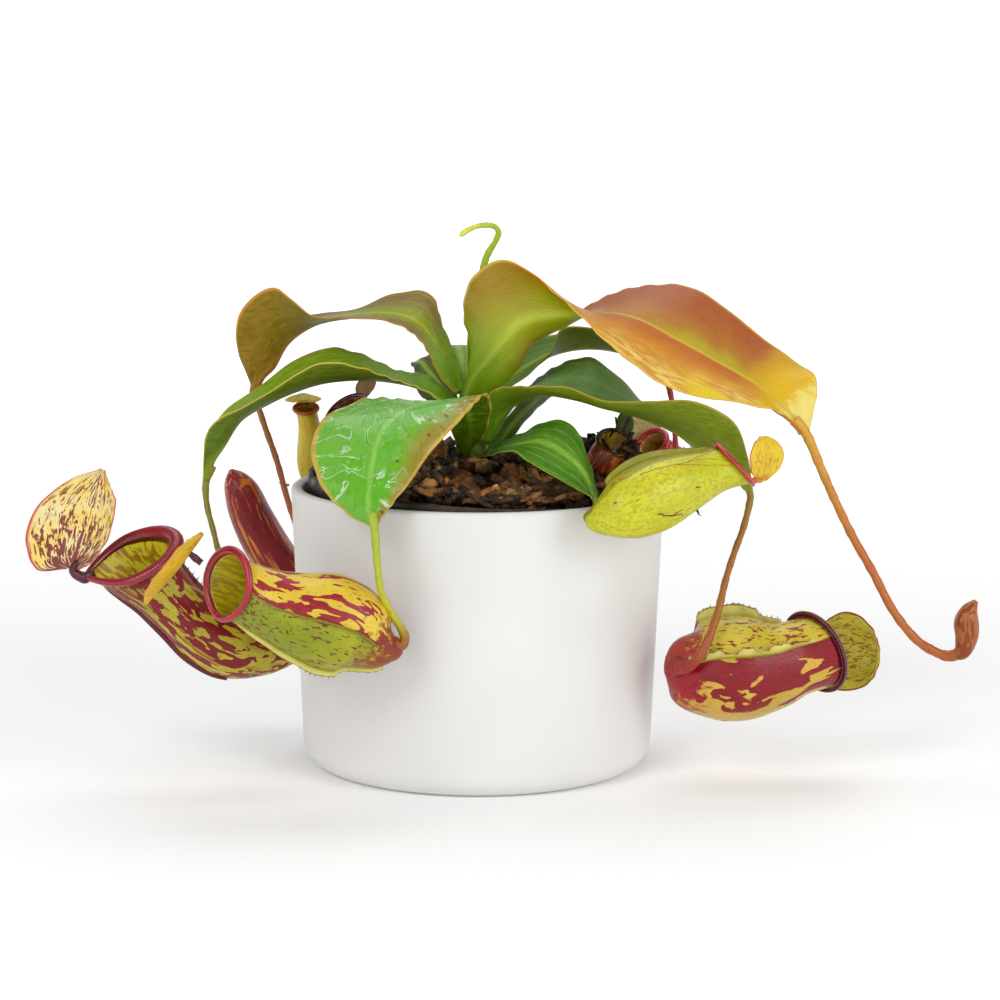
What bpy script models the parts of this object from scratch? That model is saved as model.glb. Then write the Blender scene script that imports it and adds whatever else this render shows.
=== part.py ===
"""Potted pitcher plant: a Nepenthes in its nursery pot, standing in a white ceramic cover pot.

Frame: origin at the centre of the cover pot's flat underside, +X to the right, +Y to the back, +Z up.
All routes and stations below are in millimetres and are scaled by MM when they become meshes.
"""
import math

import bmesh
import bpy
from mathutils import Vector

MM = 0.001

# Driving dimensions, millimetres.
POT_HEIGHT = 98.0
POT_RIM_RADIUS = 65.0
POT_BASE_RADIUS = 61.2
POT_WALL = 4.0
POT_FLOOR = 4.5
POT_FOOT_ROUND = 8.5
POT_RIM_ROUND = 1.2

LINER_RIM_RADIUS = 58.6
LINER_BASE_RADIUS = 47.0
LINER_DEPTH = 90.0
LINER_WALL = 1.2
LINER_LIP = 1.6
LINER_TILT_X = math.radians(1.0)
LINER_TILT_Y = math.radians(3.0)

SOIL_EDGE_DROP = 2.5
SOIL_MOUND = 9.0
SOIL_CLUMP = (43.0, 27.0, 11.0, 12.0)   # centre x, centre y, spread, height

STEM_X = -3.0
STEM_TOP = 131.0

GAP = 0.35             # air between touching pieces
LEAF_THICKNESS = 0.9
PITCHER_WALL = 1.2
LID_THICKNESS = 0.9
ROUND_STEPS = 56       # facets round the pots
PITCHER_SIDES = 20     # facets round a pitcher
LEAF_ACROSS = 6        # strips across a leaf
LEAF_PER_SPAN = 2      # rows between two stations of a leaf

# One material for each kind of surface: base colour, roughness.
SURFACES = {
    "ceramic": ((0.84, 0.83, 0.82), 0.45),
    "liner": ((0.03, 0.025, 0.02), 0.5),
    "soil": ((0.03, 0.02, 0.012), 0.95),
    "bark": ((0.35, 0.2, 0.09), 0.9),
    "leaf_green": ((0.12, 0.3, 0.03), 0.4),
    "leaf_bronze": ((0.45, 0.22, 0.06), 0.45),
    "tendril": ((0.4, 0.17, 0.07), 0.45),
    "pitcher_red": ((0.33, 0.04, 0.03), 0.3),
    "pitcher_green": ((0.5, 0.5, 0.08), 0.4),
    "mouth_rim": ((0.22, 0.01, 0.015), 0.2),
    "lid": ((0.65, 0.5, 0.2), 0.45),
}


def clear_scene():
    """Removes whatever the file held and makes the collection of parts."""
    for thing in list(bpy.data.objects):
        bpy.data.objects.remove(thing, do_unlink=True)
    collection = bpy.data.collections.new("potted_pitcher_plant")
    bpy.context.scene.collection.children.link(collection)
    return collection


def surface_material(name, surface):
    """A Principled material of the named surface, one for each part."""
    colour, roughness = SURFACES[surface]
    material = bpy.data.materials.new(name + "_" + surface)
    material.use_nodes = True
    shader = material.node_tree.nodes["Principled BSDF"]
    shader.inputs["Base Color"].default_value = (*colour, 1.0)
    shader.inputs["Roughness"].default_value = roughness
    shader.inputs["Metallic"].default_value = 0.0
    material.diffuse_color = (*colour, 1.0)
    return material


def add_part(name, data, surface):
    """Links a mesh or curve to the parts collection, with its own material."""
    part = bpy.data.objects.new(name, data)
    PARTS.objects.link(part)
    data.materials.append(surface_material(name, surface))
    return part


def smooth_curve(points, per_span):
    """Points on a Catmull-Rom curve through the given vectors."""
    padded = [points[0] * 2 - points[1]] + list(points) + [points[-1] * 2 - points[-2]]
    result = []
    for index in range(len(points) - 1):
        before, start, end, after = padded[index:index + 4]
        for step in range(per_span):
            t = step / per_span
            result.append(0.5 * (2 * start + (end - before) * t
                                 + (2 * before - 5 * start + 4 * end - after) * t * t
                                 + (3 * start - before - 3 * end + after) * t * t * t))
    result.append(points[-1].copy())
    return result


def mesh_from_rows(name, rows, wrap, start_cap=False, end_cap=False):
    """A mesh skinned over rows of points; wrapped rows are rings, and a cap closes an end with a fan."""
    mesh = bmesh.new()
    grid = [[mesh.verts.new(point * MM) for point in row] for row in rows]
    columns = len(rows[0])
    last = columns if wrap else columns - 1
    for lower, upper in zip(grid, grid[1:]):
        for column in range(last):
            following = (column + 1) % columns
            mesh.faces.new((lower[column], lower[following], upper[following], upper[column]))
    for row, wanted in ((0, start_cap), (-1, end_cap)):
        if wanted:
            centre = sum(rows[row], Vector((0, 0, 0))) / columns
            pole = mesh.verts.new(centre * MM)
            for column in range(columns):
                mesh.faces.new((grid[row][column], grid[row][(column + 1) % columns], pole))
    bmesh.ops.recalc_face_normals(mesh, faces=mesh.faces)
    for face in mesh.faces:
        face.smooth = True
    data = bpy.data.meshes.new(name)
    mesh.to_mesh(data)
    mesh.free()
    return data


def add_thickness(part, thickness, offset):
    """Turns an open skin into a closed wall."""
    shell = part.modifiers.new("thickness", "SOLIDIFY")
    shell.thickness = thickness * MM
    shell.offset = offset


def add_blade(name, surface, stations, thickness=LEAF_THICKNESS):
    """A leaf or lid: each station is its midrib point and its two margin points."""
    ribs, nears, fars = ([Vector(station[side]) for station in stations] for side in range(3))
    lines = [smooth_curve(line, LEAF_PER_SPAN) for line in (ribs, nears, fars)]
    rows = []
    for rib, near, far in zip(*lines):
        row = []
        for strip in range(LEAF_ACROSS + 1):
            v = 2 * strip / LEAF_ACROSS - 1
            row.append(rib + (far - near) * (v / 2) + ((far + near) / 2 - rib) * (v * v))
        rows.append(row)
    part = add_part(name, mesh_from_rows(name, rows, wrap=False), surface)
    add_thickness(part, thickness, 0.0)
    return part


def add_lid(name, surface, route, half_widths, across, cup):
    """A pitcher's lid: a small blade along a route, with its width along one direction and a cupped face."""
    across = Vector(across).normalized()
    heading = (Vector(route[-1]) - Vector(route[0])).normalized()
    face = across.cross(heading).normalized()
    stations = []
    for point, half_width in zip(route, half_widths):
        rib = Vector(point)
        rise = face * (cup * half_width)
        stations.append((rib, rib - across * half_width + rise, rib + across * half_width + rise))
    return add_blade(name, surface, stations, LID_THICKNESS)


def add_tube(name, surface, route, radius, per_span=2, end_scale=1.0, closed=False):
    """A tendril or a mouth rim: a round tube along a smooth route."""
    points = route if closed else smooth_curve([Vector(point) for point in route], per_span)
    curve = bpy.data.curves.new(name, "CURVE")
    curve.dimensions = "3D"
    curve.bevel_depth = radius * MM
    curve.bevel_resolution = 1
    curve.use_fill_caps = not closed
    spline = curve.splines.new("POLY")
    spline.points.add(len(points) - 1)
    for index, point in enumerate(points):
        spline.points[index].co = (*(point * MM), 1.0)
        spline.points[index].radius = 1 + (end_scale - 1) * index / (len(points) - 1)
    spline.use_cyclic_u = closed
    spline.use_smooth = True
    return add_part(name, curve, surface)


def pitcher_rings(stations, width_along, mouth_facing):
    """Rings along a pitcher; each station is a centre, a half width and a half height.

    The half width lies along width_along. Over the last third of the route the rings turn from
    square to the route into the plane of the mouth.
    """
    centres = smooth_curve([Vector(station[:3]) for station in stations], 2)
    sizes = smooth_curve([Vector((station[3], station[4], 0)) for station in stations], 2)
    rings = []
    for index, (centre, size) in enumerate(zip(centres, sizes)):
        ahead = centres[min(index + 1, len(centres) - 1)] - centres[max(index - 1, 0)]
        facing = ahead.normalized()
        turn = max(0.0, 1 - (len(centres) - 1 - index) / (len(centres) / 3))
        if mouth_facing:
            facing = facing.lerp(Vector(mouth_facing).normalized(), turn).normalized()
        along = Vector(width_along)
        side = (along - facing * along.dot(facing)).normalized()
        top = side.cross(facing)
        rings.append([centre + side * (size.x * math.cos(angle)) + top * (size.y * math.sin(angle))
                      for angle in (2 * math.pi * step / PITCHER_SIDES for step in range(PITCHER_SIDES))])
    return rings


def add_open_pitcher(name, surface, stations, width_along, mouth_facing):
    """A hollow trap with an open mouth; returns its mouth ring."""
    rings = pitcher_rings(stations, width_along, mouth_facing)
    part = add_part(name, mesh_from_rows(name, rings, wrap=True, start_cap=True), surface)
    add_thickness(part, PITCHER_WALL, -1.0)
    return rings[-1]


def add_closed_pitcher(name, surface, stations, width_along):
    """A trap that hasn't opened yet."""
    rings = pitcher_rings(stations, width_along, None)
    return add_part(name, mesh_from_rows(name, rings, True, True, True), surface)


def add_mouth_rim(name, mouth, facing, tube):
    """The rolled, ribbed collar round an open mouth."""
    lift = Vector(facing).normalized() * (tube + GAP)
    return add_tube(name, "mouth_rim", [point + lift for point in mouth], tube, closed=True)


def arc(centre_x, centre_z, radius, start, end, steps):
    """Profile points on an arc, angles in degrees from +X."""
    angles = [math.radians(start + (end - start) * step / steps) for step in range(steps + 1)]
    return [(centre_x + radius * math.cos(a), centre_z + radius * math.sin(a)) for a in angles]


def add_turned(name, surface, profile):
    """A part turned about Z from a profile that starts and ends on the axis."""
    mesh = bmesh.new()
    verts = [mesh.verts.new((x * MM, 0, z * MM)) for x, z in profile]
    for start, end in zip(verts, verts[1:]):
        mesh.edges.new((start, end))
    data = bpy.data.meshes.new(name)
    mesh.to_mesh(data)
    mesh.free()
    part = add_part(name, data, surface)
    screw = part.modifiers.new("turn", "SCREW")
    screw.steps = ROUND_STEPS
    screw.render_steps = ROUND_STEPS
    screw.use_merge_vertices = True
    screw.merge_threshold = 0.00005
    screw.use_smooth_shade = True
    return part


def make_cover_pot():
    """White ceramic cover pot: slightly tapered, with a rounded foot and a soft rim edge."""
    inner_rim = POT_RIM_RADIUS - POT_WALL
    inner_base = POT_BASE_RADIUS - POT_WALL
    foot = POT_FOOT_ROUND
    profile = [(0, POT_FLOOR)]
    profile += arc(inner_base - 5, POT_FLOOR + 5, 5, -90, 0, 3)
    profile += arc(inner_rim + POT_RIM_ROUND, POT_HEIGHT - POT_RIM_ROUND, POT_RIM_ROUND, 180, 90, 2)
    profile += arc(POT_RIM_RADIUS - POT_RIM_ROUND, POT_HEIGHT - POT_RIM_ROUND, POT_RIM_ROUND, 90, 0, 2)
    profile += arc(POT_BASE_RADIUS - foot, foot, foot, 0, -90, 5)
    profile += [(0, 0)]
    add_turned("cover_pot", "ceramic", profile)


def liner_radius(depth):
    """Outer radius of the nursery pot at a depth below its rim."""
    return LINER_RIM_RADIUS + (LINER_BASE_RADIUS - LINER_RIM_RADIUS) * depth / LINER_DEPTH


def make_nursery_pot(tilt):
    """Thin black plastic pot that holds the soil; it stands a little askew in the cover pot."""
    wall = LINER_WALL
    profile = [(0, -LINER_DEPTH + wall), (LINER_BASE_RADIUS - wall, -LINER_DEPTH + wall),
               (LINER_RIM_RADIUS - wall, 0), (LINER_RIM_RADIUS - wall, LINER_LIP),
               (LINER_RIM_RADIUS + wall / 2, LINER_LIP), (LINER_RIM_RADIUS + wall / 2, -LINER_LIP),
               (liner_radius(2 * LINER_LIP), -2 * LINER_LIP), (LINER_BASE_RADIUS, -LINER_DEPTH),
               (0, -LINER_DEPTH)]
    add_turned("nursery_pot", "liner", profile).parent = tilt


def soil_height(x, y):
    """Height of the soil over the nursery pot's rim plane, in the tilted frame."""
    edge = LINER_RIM_RADIUS - LINER_WALL
    dome = SOIL_MOUND * max(0.0, 1 - (x * x + y * y) / (edge * edge))
    clump_x, clump_y, spread, height = SOIL_CLUMP
    clump = height * math.exp(-((x - clump_x) ** 2 + (y - clump_y) ** 2) / (2 * spread * spread))
    lumps = 0.5 * math.sin(0.31 * x + 1.3) * math.cos(0.37 * y) + 0.35 * math.sin(0.83 * x + 0.61 * y)
    return dome + clump + lumps - SOIL_EDGE_DROP


def make_soil(tilt):
    """Bark and peat mix, mounded towards the stem and heaped up round the old pitcher at the back right."""
    edge = LINER_RIM_RADIUS - LINER_WALL - 3 * GAP
    foot = LINER_BASE_RADIUS - LINER_WALL - GAP
    floor = -LINER_DEPTH + LINER_WALL + GAP
    steps = 40
    around = [2 * math.pi * step / steps for step in range(steps)]
    rows = [[Vector((foot * math.cos(a), foot * math.sin(a), floor)) for a in around]]
    rows.append([Vector(((edge - 0.8) * math.cos(a), (edge - 0.8) * math.sin(a), -6.0)) for a in around])
    for radius in (edge, 0.86 * edge, 0.72 * edge, 0.57 * edge, 0.42 * edge, 0.27 * edge, 0.12 * edge):
        ring = [(radius * math.cos(a), radius * math.sin(a)) for a in around]
        rows.append([Vector((x, y, soil_height(x, y))) for x, y in ring])
    soil = add_part("soil", mesh_from_rows("soil", rows, True, True, True), "soil")
    soil.parent = tilt


def ground(x, y):
    """World height of the soil under a point."""
    lean = -x * math.sin(LINER_TILT_Y) + y * math.sin(LINER_TILT_X)
    return POT_HEIGHT + lean + soil_height(x, y)


def make_stem():
    """Short woody stem that all the leaves spring from."""
    foot = ground(STEM_X, 0) + 1.2
    mesh = bmesh.new()
    bmesh.ops.create_cone(mesh, cap_ends=True, segments=12, radius1=4.6 * MM, radius2=2.4 * MM,
                          depth=(STEM_TOP - foot) * MM)
    bmesh.ops.translate(mesh, verts=mesh.verts, vec=(STEM_X * MM, 0, (STEM_TOP + foot) / 2 * MM))
    for face in mesh.faces:
        face.smooth = len(face.verts) == 4
    data = bpy.data.meshes.new("stem")
    mesh.to_mesh(data)
    mesh.free()
    add_part("stem", data, "leaf_green")


# Each leaf: surface, then stations of (midrib, left or near margin, right or far margin) from stem to tip.
LEAVES = {
    "leaf_upper_left": ("leaf_bronze", [
        ((-6.4, 1.5, 130), (-7.4, -0.5, 130), (-5.4, 3, 131)),
        ((-9, 3, 136), (-13, -2, 136), (-6, 7, 138)),
        ((-15, 4, 147), (-18.5, -7, 147.5), (-12.5, 13, 152)),
        ((-22, 5, 155), (-25, -11, 154), (-17, 17, 163)),
        ((-33, 8, 157), (-34, -11, 157), (-29, 22, 163)),
        ((-46, 11, 156), (-45, -7, 157), (-43, 27, 157)),
        ((-58, 15, 153), (-58, 0, 157), (-57, 30, 155)),
        ((-68, 20, 146), (-71, 6, 166), (-67, 35, 152)),
        ((-73.5, 23, 137), (-83, 12, 158), (-75, 36, 145)),
        ((-77.5, 23, 133), (-85.5, 17, 145), (-79, 30, 138)),
        ((-80, 23, 129), (-81, 22, 130), (-79, 24, 130))]),
    "leaf_mid_left": ("leaf_green", [
        ((-7, -2, 124), (-8, -4, 124), (-7, 0, 124.5)),
        ((-17, -3, 132), (-18, -9, 132), (-16, 4, 135)),
        ((-29, -4, 135), (-30, -14, 137), (-29, 11, 137)),
        ((-41, -5, 136), (-40, -17, 141), (-41, 14, 142)),
        ((-53, -6, 135), (-52, -19, 143), (-53, 16, 144)),
        ((-63, -7, 132), (-61, -19, 139), (-65, 14, 140)),
        ((-72, -8, 128), (-70, -19, 133), (-76, 10, 132)),
        ((-82, -9, 122), (-81, -18, 127), (-86, 5, 125)),
        ((-88, -10, 113), (-91, -16, 121), (-93, -2, 118)),
        ((-92, -10, 107), (-94, -13, 113), (-95, -6, 112)),
        ((-94, -10, 101), (-95, -11, 101), (-93, -9, 101))]),
    "leaf_front": ("leaf_green", [
        ((-4.5, -6.2, 111), (-2.5, -6, 111), (-6.5, -6, 111)),
        ((-3, -17, 120), (3, -15, 119), (-9, -19, 120)),
        ((-4, -27, 128), (5, -24, 129), (-12, -30, 130)),
        ((-11, -36, 132), (3, -34, 134), (-22, -31, 131)),
        ((-23, -46, 130), (-4, -48, 128), (-37, -32, 132)),
        ((-30, -56, 125), (-14, -58, 118), (-50, -44, 127)),
        ((-33, -64, 117), (-20, -66, 110), (-54, -56, 118)),
        ((-34, -71, 108), (-26, -72, 103), (-50, -66, 107)),
        ((-34, -76, 102), (-30, -76, 98), (-41, -73, 99)),
        ((-32, -79, 96), (-31, -79, 96), (-33, -79, 96))]),
    "leaf_upper_right": ("leaf_bronze", [
        ((-3.5, -4.6, 126), (-5.5, -4.2, 126), (-1.5, -4.4, 126)),
        ((0, -10, 137), (-2, -5, 145), (8, -9, 133)),
        ((7, -12, 147), (-5, -3, 158), (15, -8, 141)),
        ((16, -13, 156), (-2, -8, 171), (19, -4, 148)),
        ((28, -14, 159), (11, -18, 178), (28, -1, 154)),
        ((40, -14, 160), (30, -32, 165), (43, 6, 163)),
        ((54, -14, 158), (47, -34, 149), (58, 10, 167)),
        ((68, -15, 151), (66, -34, 136), (76, 10, 166)),
        ((81, -16, 144), (84, -32, 132), (93, 6, 154)),
        ((95, -17, 136), (98, -28, 129), (108, 1, 143)),
        ((105, -18, 128), (105, -22, 126), (117, -6, 136)),
        ((112, -19, 120), (111, -20, 121), (114, -17, 120))]),
    "leaf_mid_right": ("leaf_green", [
        ((2.8, -3.8, 114), (1.4, -5.8, 114), (3.8, -2, 114)),
        ((6, -8, 121), (2, -12, 125), (10, 0, 123)),
        ((12, -11, 128), (6, -20, 134), (17, 9, 131)),
        ((23, -14, 132), (19, -27, 136), (27, 14, 138)),
        ((35, -17, 131), (32, -31, 136), (39, 16, 141)),
        ((46, -20, 128), (43, -34, 132), (50, 14, 134)),
        ((57, -22, 125), (59, -35, 132), (58, 9, 126)),
        ((69, -24, 120), (74, -35, 132), (69, 2, 120)),
        ((80, -25, 112), (87, -33, 125), (78, -8, 113)),
        ((88, -26, 106), (92, -30, 113), (87, -18, 106)),
        ((93, -27, 101), (94, -28, 102), (92, -26, 101))]),
    "leaf_small_front": ("leaf_green", [
        ((1.5, -6, 108.6), (0, -7, 108.8), (3, -5, 109)),
        ((7, -18, 113), (5, -25, 112), (9, -12, 115)),
        ((14, -27, 116), (12, -36, 115), (16, -18, 119)),
        ((22, -35, 118), (20, -43, 111), (25, -25, 124)),
        ((30, -42, 115), (29, -49, 107), (33, -33, 123)),
        ((36, -49, 110), (35, -53, 104), (38, -43, 113)),
        ((40, -55, 102.5), (39, -56, 102.5), (41, -54, 103))]),
    "leaf_back_right": ("leaf_green", [
        ((0.4, 1.8, 127), (0, 0.4, 127), (0.8, 3.2, 128)),
        ((6, 8, 132), (8, 1, 130), (4, 15, 136)),
        ((15, 13, 137), (18, 4, 137), (12, 21, 143)),
        ((25, 19, 142), (25, 8, 144), (23, 28, 147)),
        ((36, 24, 144), (30, 13, 152), (38, 33, 149)),
        ((47, 28, 143), (43, 17, 151), (49, 36, 148)),
        ((58, 32, 139), (57, 24, 147), (60, 38, 143)),
        ((67, 34, 131), (66, 33, 131), (68, 35, 131))]),
    "leaf_back_left": ("leaf_green", [
        ((-6.8, 3.4, 124), (-7.6, 2, 124), (-5.8, 4.6, 125)),
        ((-13, 13, 130), (-17, 7, 126), (-11, 19, 135)),
        ((-18, 24, 135), (-22, 18, 129), (-14, 30, 140)),
        ((-21, 34, 137), (-23, 30, 134), (-19, 38, 139)),
        ((-24, 41, 136), (-25, 40, 136), (-23, 42, 136))]),
    "leaf_back": ("leaf_green", [
        ((-3.4, 4, 126), (-4.8, 4, 126), (-2, 4, 126)),
        ((-6, 14, 136), (-11, 14, 136), (-1, 14, 136)),
        ((-7, 28, 142), (-14, 28, 142), (0, 27, 142)),
        ((-9, 44, 142), (-17, 44, 141), (-1, 44, 141)),
        ((-11, 60, 137), (-18, 58, 136), (-5, 60, 136)),
        ((-13, 74, 129), (-16, 73, 129), (-10, 75, 128)),
        ((-14, 81, 123), (-15, 81, 123), (-13, 81, 123))]),
    "leaf_low_right": ("leaf_green", [
        ((3, 1, 110), (2, -1, 110), (3.4, 3, 110.5)),
        ((9.4, 5, 116), (7, 0, 117.5), (11.5, 9, 113.4)),
        ((15.3, 12, 122.5), (13, 6, 124.5), (17.7, 18, 119.6)),
        ((23.3, 21, 129), (21, 12, 130.5), (25.2, 30, 125)),
        ((32.3, 28, 130.6), (30.7, 20, 133), (33.8, 37, 127.5)),
        ((40.5, 34.5, 128.4), (39.5, 33.5, 129), (41.5, 35.5, 128))]),
    "leaf_new": ("leaf_green", [
        ((-2.6, 0.6, 132.2), (-3.8, 0.2, 132.2), (-1.4, 0.2, 132.2)),
        ((-1, 6, 143), (-4, 3, 143), (2, 3, 143)),
        ((0, 10, 156), (-3, 5, 157), (4, 6, 157)),
        ((1, 11, 167), (-1, 9, 167), (4, 9, 167)),
        ((2, 11, 173), (1, 10, 173), (3, 11, 173))]),
}

# Each tendril: its route from leaf tip to trap, radius, and how much thicker it is at its far end.
TENDRILS = {
    "tendril_upper_left": (1.1, 1.3, [
        (-80.5, 23, 127.4), (-79, 24, 123), (-76, 26, 113), (-72.5, 28, 102), (-69, 30, 88),
        (-65.5, 34, 76), (-61.5, 41, 64), (-58.5, 45.5, 55), (-58.5, 49.5, 48.5), (-61, 51.2, 45.4)]),
    "tendril_mid_left": (1.0, 1.2, [
        (-94, -10, 99.4), (-93.5, -12, 92), (-91, -16, 84), (-88, -21, 75), (-83, -27, 66),
        (-75, -30.5, 58), (-66, -32, 53), (-59.5, -36, 49.5), (-56.5, -42, 48.5)]),
    "tendril_front": (1.1, 1.15, [
        (-31.9, -79.5, 94.6), (-31.2, -81, 86), (-30.5, -81.5, 79), (-29.7, -81, 74.8), (-28.2, -79.5, 70.6),
        (-26, -78, 66.3), (-23.6, -76, 61.9), (-22.2, -75, 59.4)]),
    "tendril_upper_right": (1.5, 1.5, [
        (113, -19.2, 118.4), (118, -20, 107), (123, -21, 96), (129, -22, 84), (136, -23, 72),
        (143, -24, 59), (151, -24, 49), (158, -24, 44.4), (163, -24, 43)]),
    "tendril_mid_right": (1.1, 1.5, [
        (93.3, -27, 99.4), (93, -28, 96), (91, -29, 88), (88, -31, 80), (85, -34, 71),
        (82.5, -39, 62), (79.5, -44, 54), (77, -45.5, 48.5)]),
    "tendril_small_front": (0.9, 1.2, [(40.2, -56, 101.2), (40, -60, 100), (37.5, -64.5, 98)]),
    "tendril_back_right": (1.0, 1.2, [
        (67.4, 35, 129.2), (69, 38, 123), (70, 40, 116), (70.5, 42, 110), (71, 44.5, 104), (72, 46.2, 99)]),
    "tendril_back": (0.9, 1.1, [
        (-14, 82.6, 121.4), (-18, 81, 114), (-24, 73, 107), (-31, 60, 106), (-37, 46, 107),
        (-42, 33, 104.5), (-43, 23.5, 102.6)]),
    "tendril_new": (1.0, 0.8, [
        (2, 11, 174.6), (3.2, 11, 178), (5.6, 11, 182), (6.8, 10.5, 185.4), (4.9, 10, 187.6),
        (0.6, 9, 187.8), (-3.1, 8, 186.6), (-5.8, 7, 185)]),
}

# Each open trap: surface, direction of its width, mouth facing, rim tube, and stations from base
# to mouth as (centre x, y, z, half width, half height).
OPEN_PITCHERS = {
    "far_left": ("pitcher_red", (0, 1, 0), (-0.3, -0.5, 0.8), 1.3, [
        (-60, -45, 48, 1.8, 1.8), (-64, -45, 47, 5, 5), (-72, -46, 47.5, 8.5, 8.5),
        (-81, -47, 50, 11.5, 11.7), (-90, -48, 55, 12, 11.6), (-98.5, -49, 62, 11, 9.8),
        (-105.5, -49.5, 69.5, 10.5, 10.4), (-111, -50, 75, 10.5, 12.6), (-115, -50.5, 79.5, 10.5, 15.2)]),
    "front_left": ("pitcher_red", (0, 1, 0), (-0.68, -0.7, 0.15), 1.2, [
        (-23.6, -74, 54.6, 1.6, 1.6), (-26.6, -75, 54.4, 3.5, 3.5), (-31.2, -76, 56.1, 7, 7.8),
        (-37.6, -77, 60.8, 11.4, 13.7), (-47, -78.5, 64.5, 13, 16), (-56, -79.5, 67, 12.5, 14),
        (-66, -80.5, 70.5, 11, 11.5), (-74, -81, 74, 10, 10.6), (-79.5, -82, 77, 10, 10.8)]),
    "right": ("pitcher_red", (0, -1, 0), (0.73, 0.62, 0.28), 1.1, [
        (65.6, -31, 41, 3, 4), (69, -30, 40.5, 8.5, 10), (75, -29, 39, 13, 15),
        (83, -28, 39, 15.5, 18), (93, -27, 39, 15.5, 18), (102, -26, 40, 13.5, 15.5),
        (109, -25, 42, 12, 13.4), (116.5, -24, 43.8, 12.5, 13)]),
    "over_rim": ("pitcher_green", (0, -1, 0), (0.75, 0.1, 0.7), 0.9, [
        (37, -68, 96.6, 1.8, 1.8), (40, -68.5, 96.8, 4.5, 4.5), (45, -68.5, 98.5, 8, 8),
        (51, -67, 101, 10, 11), (60, -63, 104.5, 10.5, 12), (70, -58, 108.3, 9.5, 10),
        (79, -53, 111.3, 8, 8), (86, -50, 112.8, 7.5, 8.4)]),
    "back_right": ("pitcher_red", (1, 0, 0), (-0.5, -0.6, 0.7), 0.8, [
        (77, 60, 80, 1.6, 1.6), (76.5, 59, 84, 5, 5), (75, 57, 90, 7.5, 7.5),
        (72, 55, 96, 7.2, 7.2), (67, 53, 101, 6.2, 6.2), (62.5, 51, 105.5, 5.6, 5.6)]),
    "back_left": ("pitcher_green", (1, 0, 0), (0, -0.35, 0.94), 0.6, [
        (-60, 43, 88, 1.6, 1.6), (-60.5, 43, 92, 3.8, 3.8), (-61, 43, 99, 5.4, 5.4),
        (-61, 43, 107, 5.2, 5.2), (-62, 42.5, 114, 3.9, 3.9), (-63, 42, 119, 3.9, 3.9)]),
    "soil_left": ("pitcher_red", (1, 0, 0), (-0.5, -0.45, 0.75), 0.6, [
        (-43, 20, 104, 1.8, 1.8), (-43.5, 20, 107, 5, 5), (-44, 19.5, 112, 7, 7),
        (-45.5, 19, 117, 7.5, 7.5), (-47, 18, 121, 8, 8)]),
    "old": ("pitcher_red", (1, 0, 0), (0.2, -0.55, 0.8), 0.6, [
        (40, 1, 101, 1.8, 1.8), (41, 1.5, 103.4, 4.6, 4.6), (43.5, 2.5, 106.5, 5.8, 5.8),
        (46, 3.5, 109.5, 6, 6), (48, 4.5, 112.5, 6, 6)]),
}

# Each lid: surface, direction of its width, cup, half widths, and route from hinge to tip.
LIDS = {
    "lid_front_left": ("lid", (0.1, 1, 0.1), 0.35, [1.2, 8, 11, 8, 1.2], [
        (-88, -83, 94), (-92, -83.5, 88), (-97, -84.5, 81.5), (-102, -85.5, 76), (-106, -86, 72)]),
    "lid_right": ("lid", (0, 0.1, 1), -0.1, [6, 10.4, 13.2, 13.8, 12.2, 8.6, 3], [
        (118, -9, 41), (121.4, -8.7, 41), (125.6, -8.6, 41.2), (130, -9.4, 41.5),
        (134.4, -11.6, 41.5), (137.8, -14.4, 41.5), (139.6, -16.2, 41.5)]),
    "lid_over_rim": ("lid", (0.8, 0.6, 0), 0.1, [2, 6.4, 7.4, 5.6, 1.6], [
        (95.9, -45.6, 106.7), (96.7, -44.5, 110.5), (97, -43.8, 115), (96.8, -43.3, 119), (96.4, -43, 121.5)]),
    "lid_back_right": ("lid", (0.75, 0.1, 0.65), 0.1, [1.4, 7, 8.6, 7.4, 1.2], [
        (64, 59.5, 106), (61, 59.5, 108.6), (57.6, 59.5, 111.4), (54.6, 59.5, 114.4), (52.4, 59.5, 117)]),
    "lid_back_left": ("lid", (1, 0, 0), 0.25, [1.2, 5.5, 6.6, 5, 1.2], [
        (-63, 47.6, 121.9), (-63.5, 44.4, 123.6), (-64, 40.5, 124.2), (-64, 37, 123.4), (-64, 35.5, 122.4)]),
    "lid_soil_left": ("lid", (0.6, 0.8, 0), 0.1, [1.2, 4.6, 5.2, 3.4, 0.9], [
        (-42, 28.5, 124), (-41.5, 29, 127), (-40.8, 29.5, 130), (-39.6, 30, 133), (-39, 30, 135)]),
    "lid_old": ("leaf_green", (0.9, 0.3, 0), 0.1, [1, 3, 3.4, 2.6, 1], [
        (51, 12.6, 113), (51.3, 13.2, 115.5), (51.5, 13.6, 118), (51.5, 13.8, 120.5), (51.5, 14, 122.5)]),
}

# The far left lid is folded along its midrib, so it has stations like a leaf.
HEART_LID = [
    ((-135, -49, 76.6), (-137.4, -48, 75.8), (-133.4, -50, 75.6)),
    ((-134, -49, 80.5), (-147.5, -45, 75), (-127.8, -53, 79.2)),
    ((-132, -49, 86), (-151.3, -44, 83.3), (-123, -54, 86)),
    ((-130.7, -48, 92.6), (-150, -43, 91.7), (-120.2, -53, 94)),
    ((-129, -47, 99), (-145, -43, 99), (-120, -51, 100)),
    ((-126.7, -46, 105), (-135.5, -44, 106), (-122, -48, 104)),
    ((-124.8, -45, 109.2), (-126, -45, 109.4), (-124, -45, 108.6))]

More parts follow.
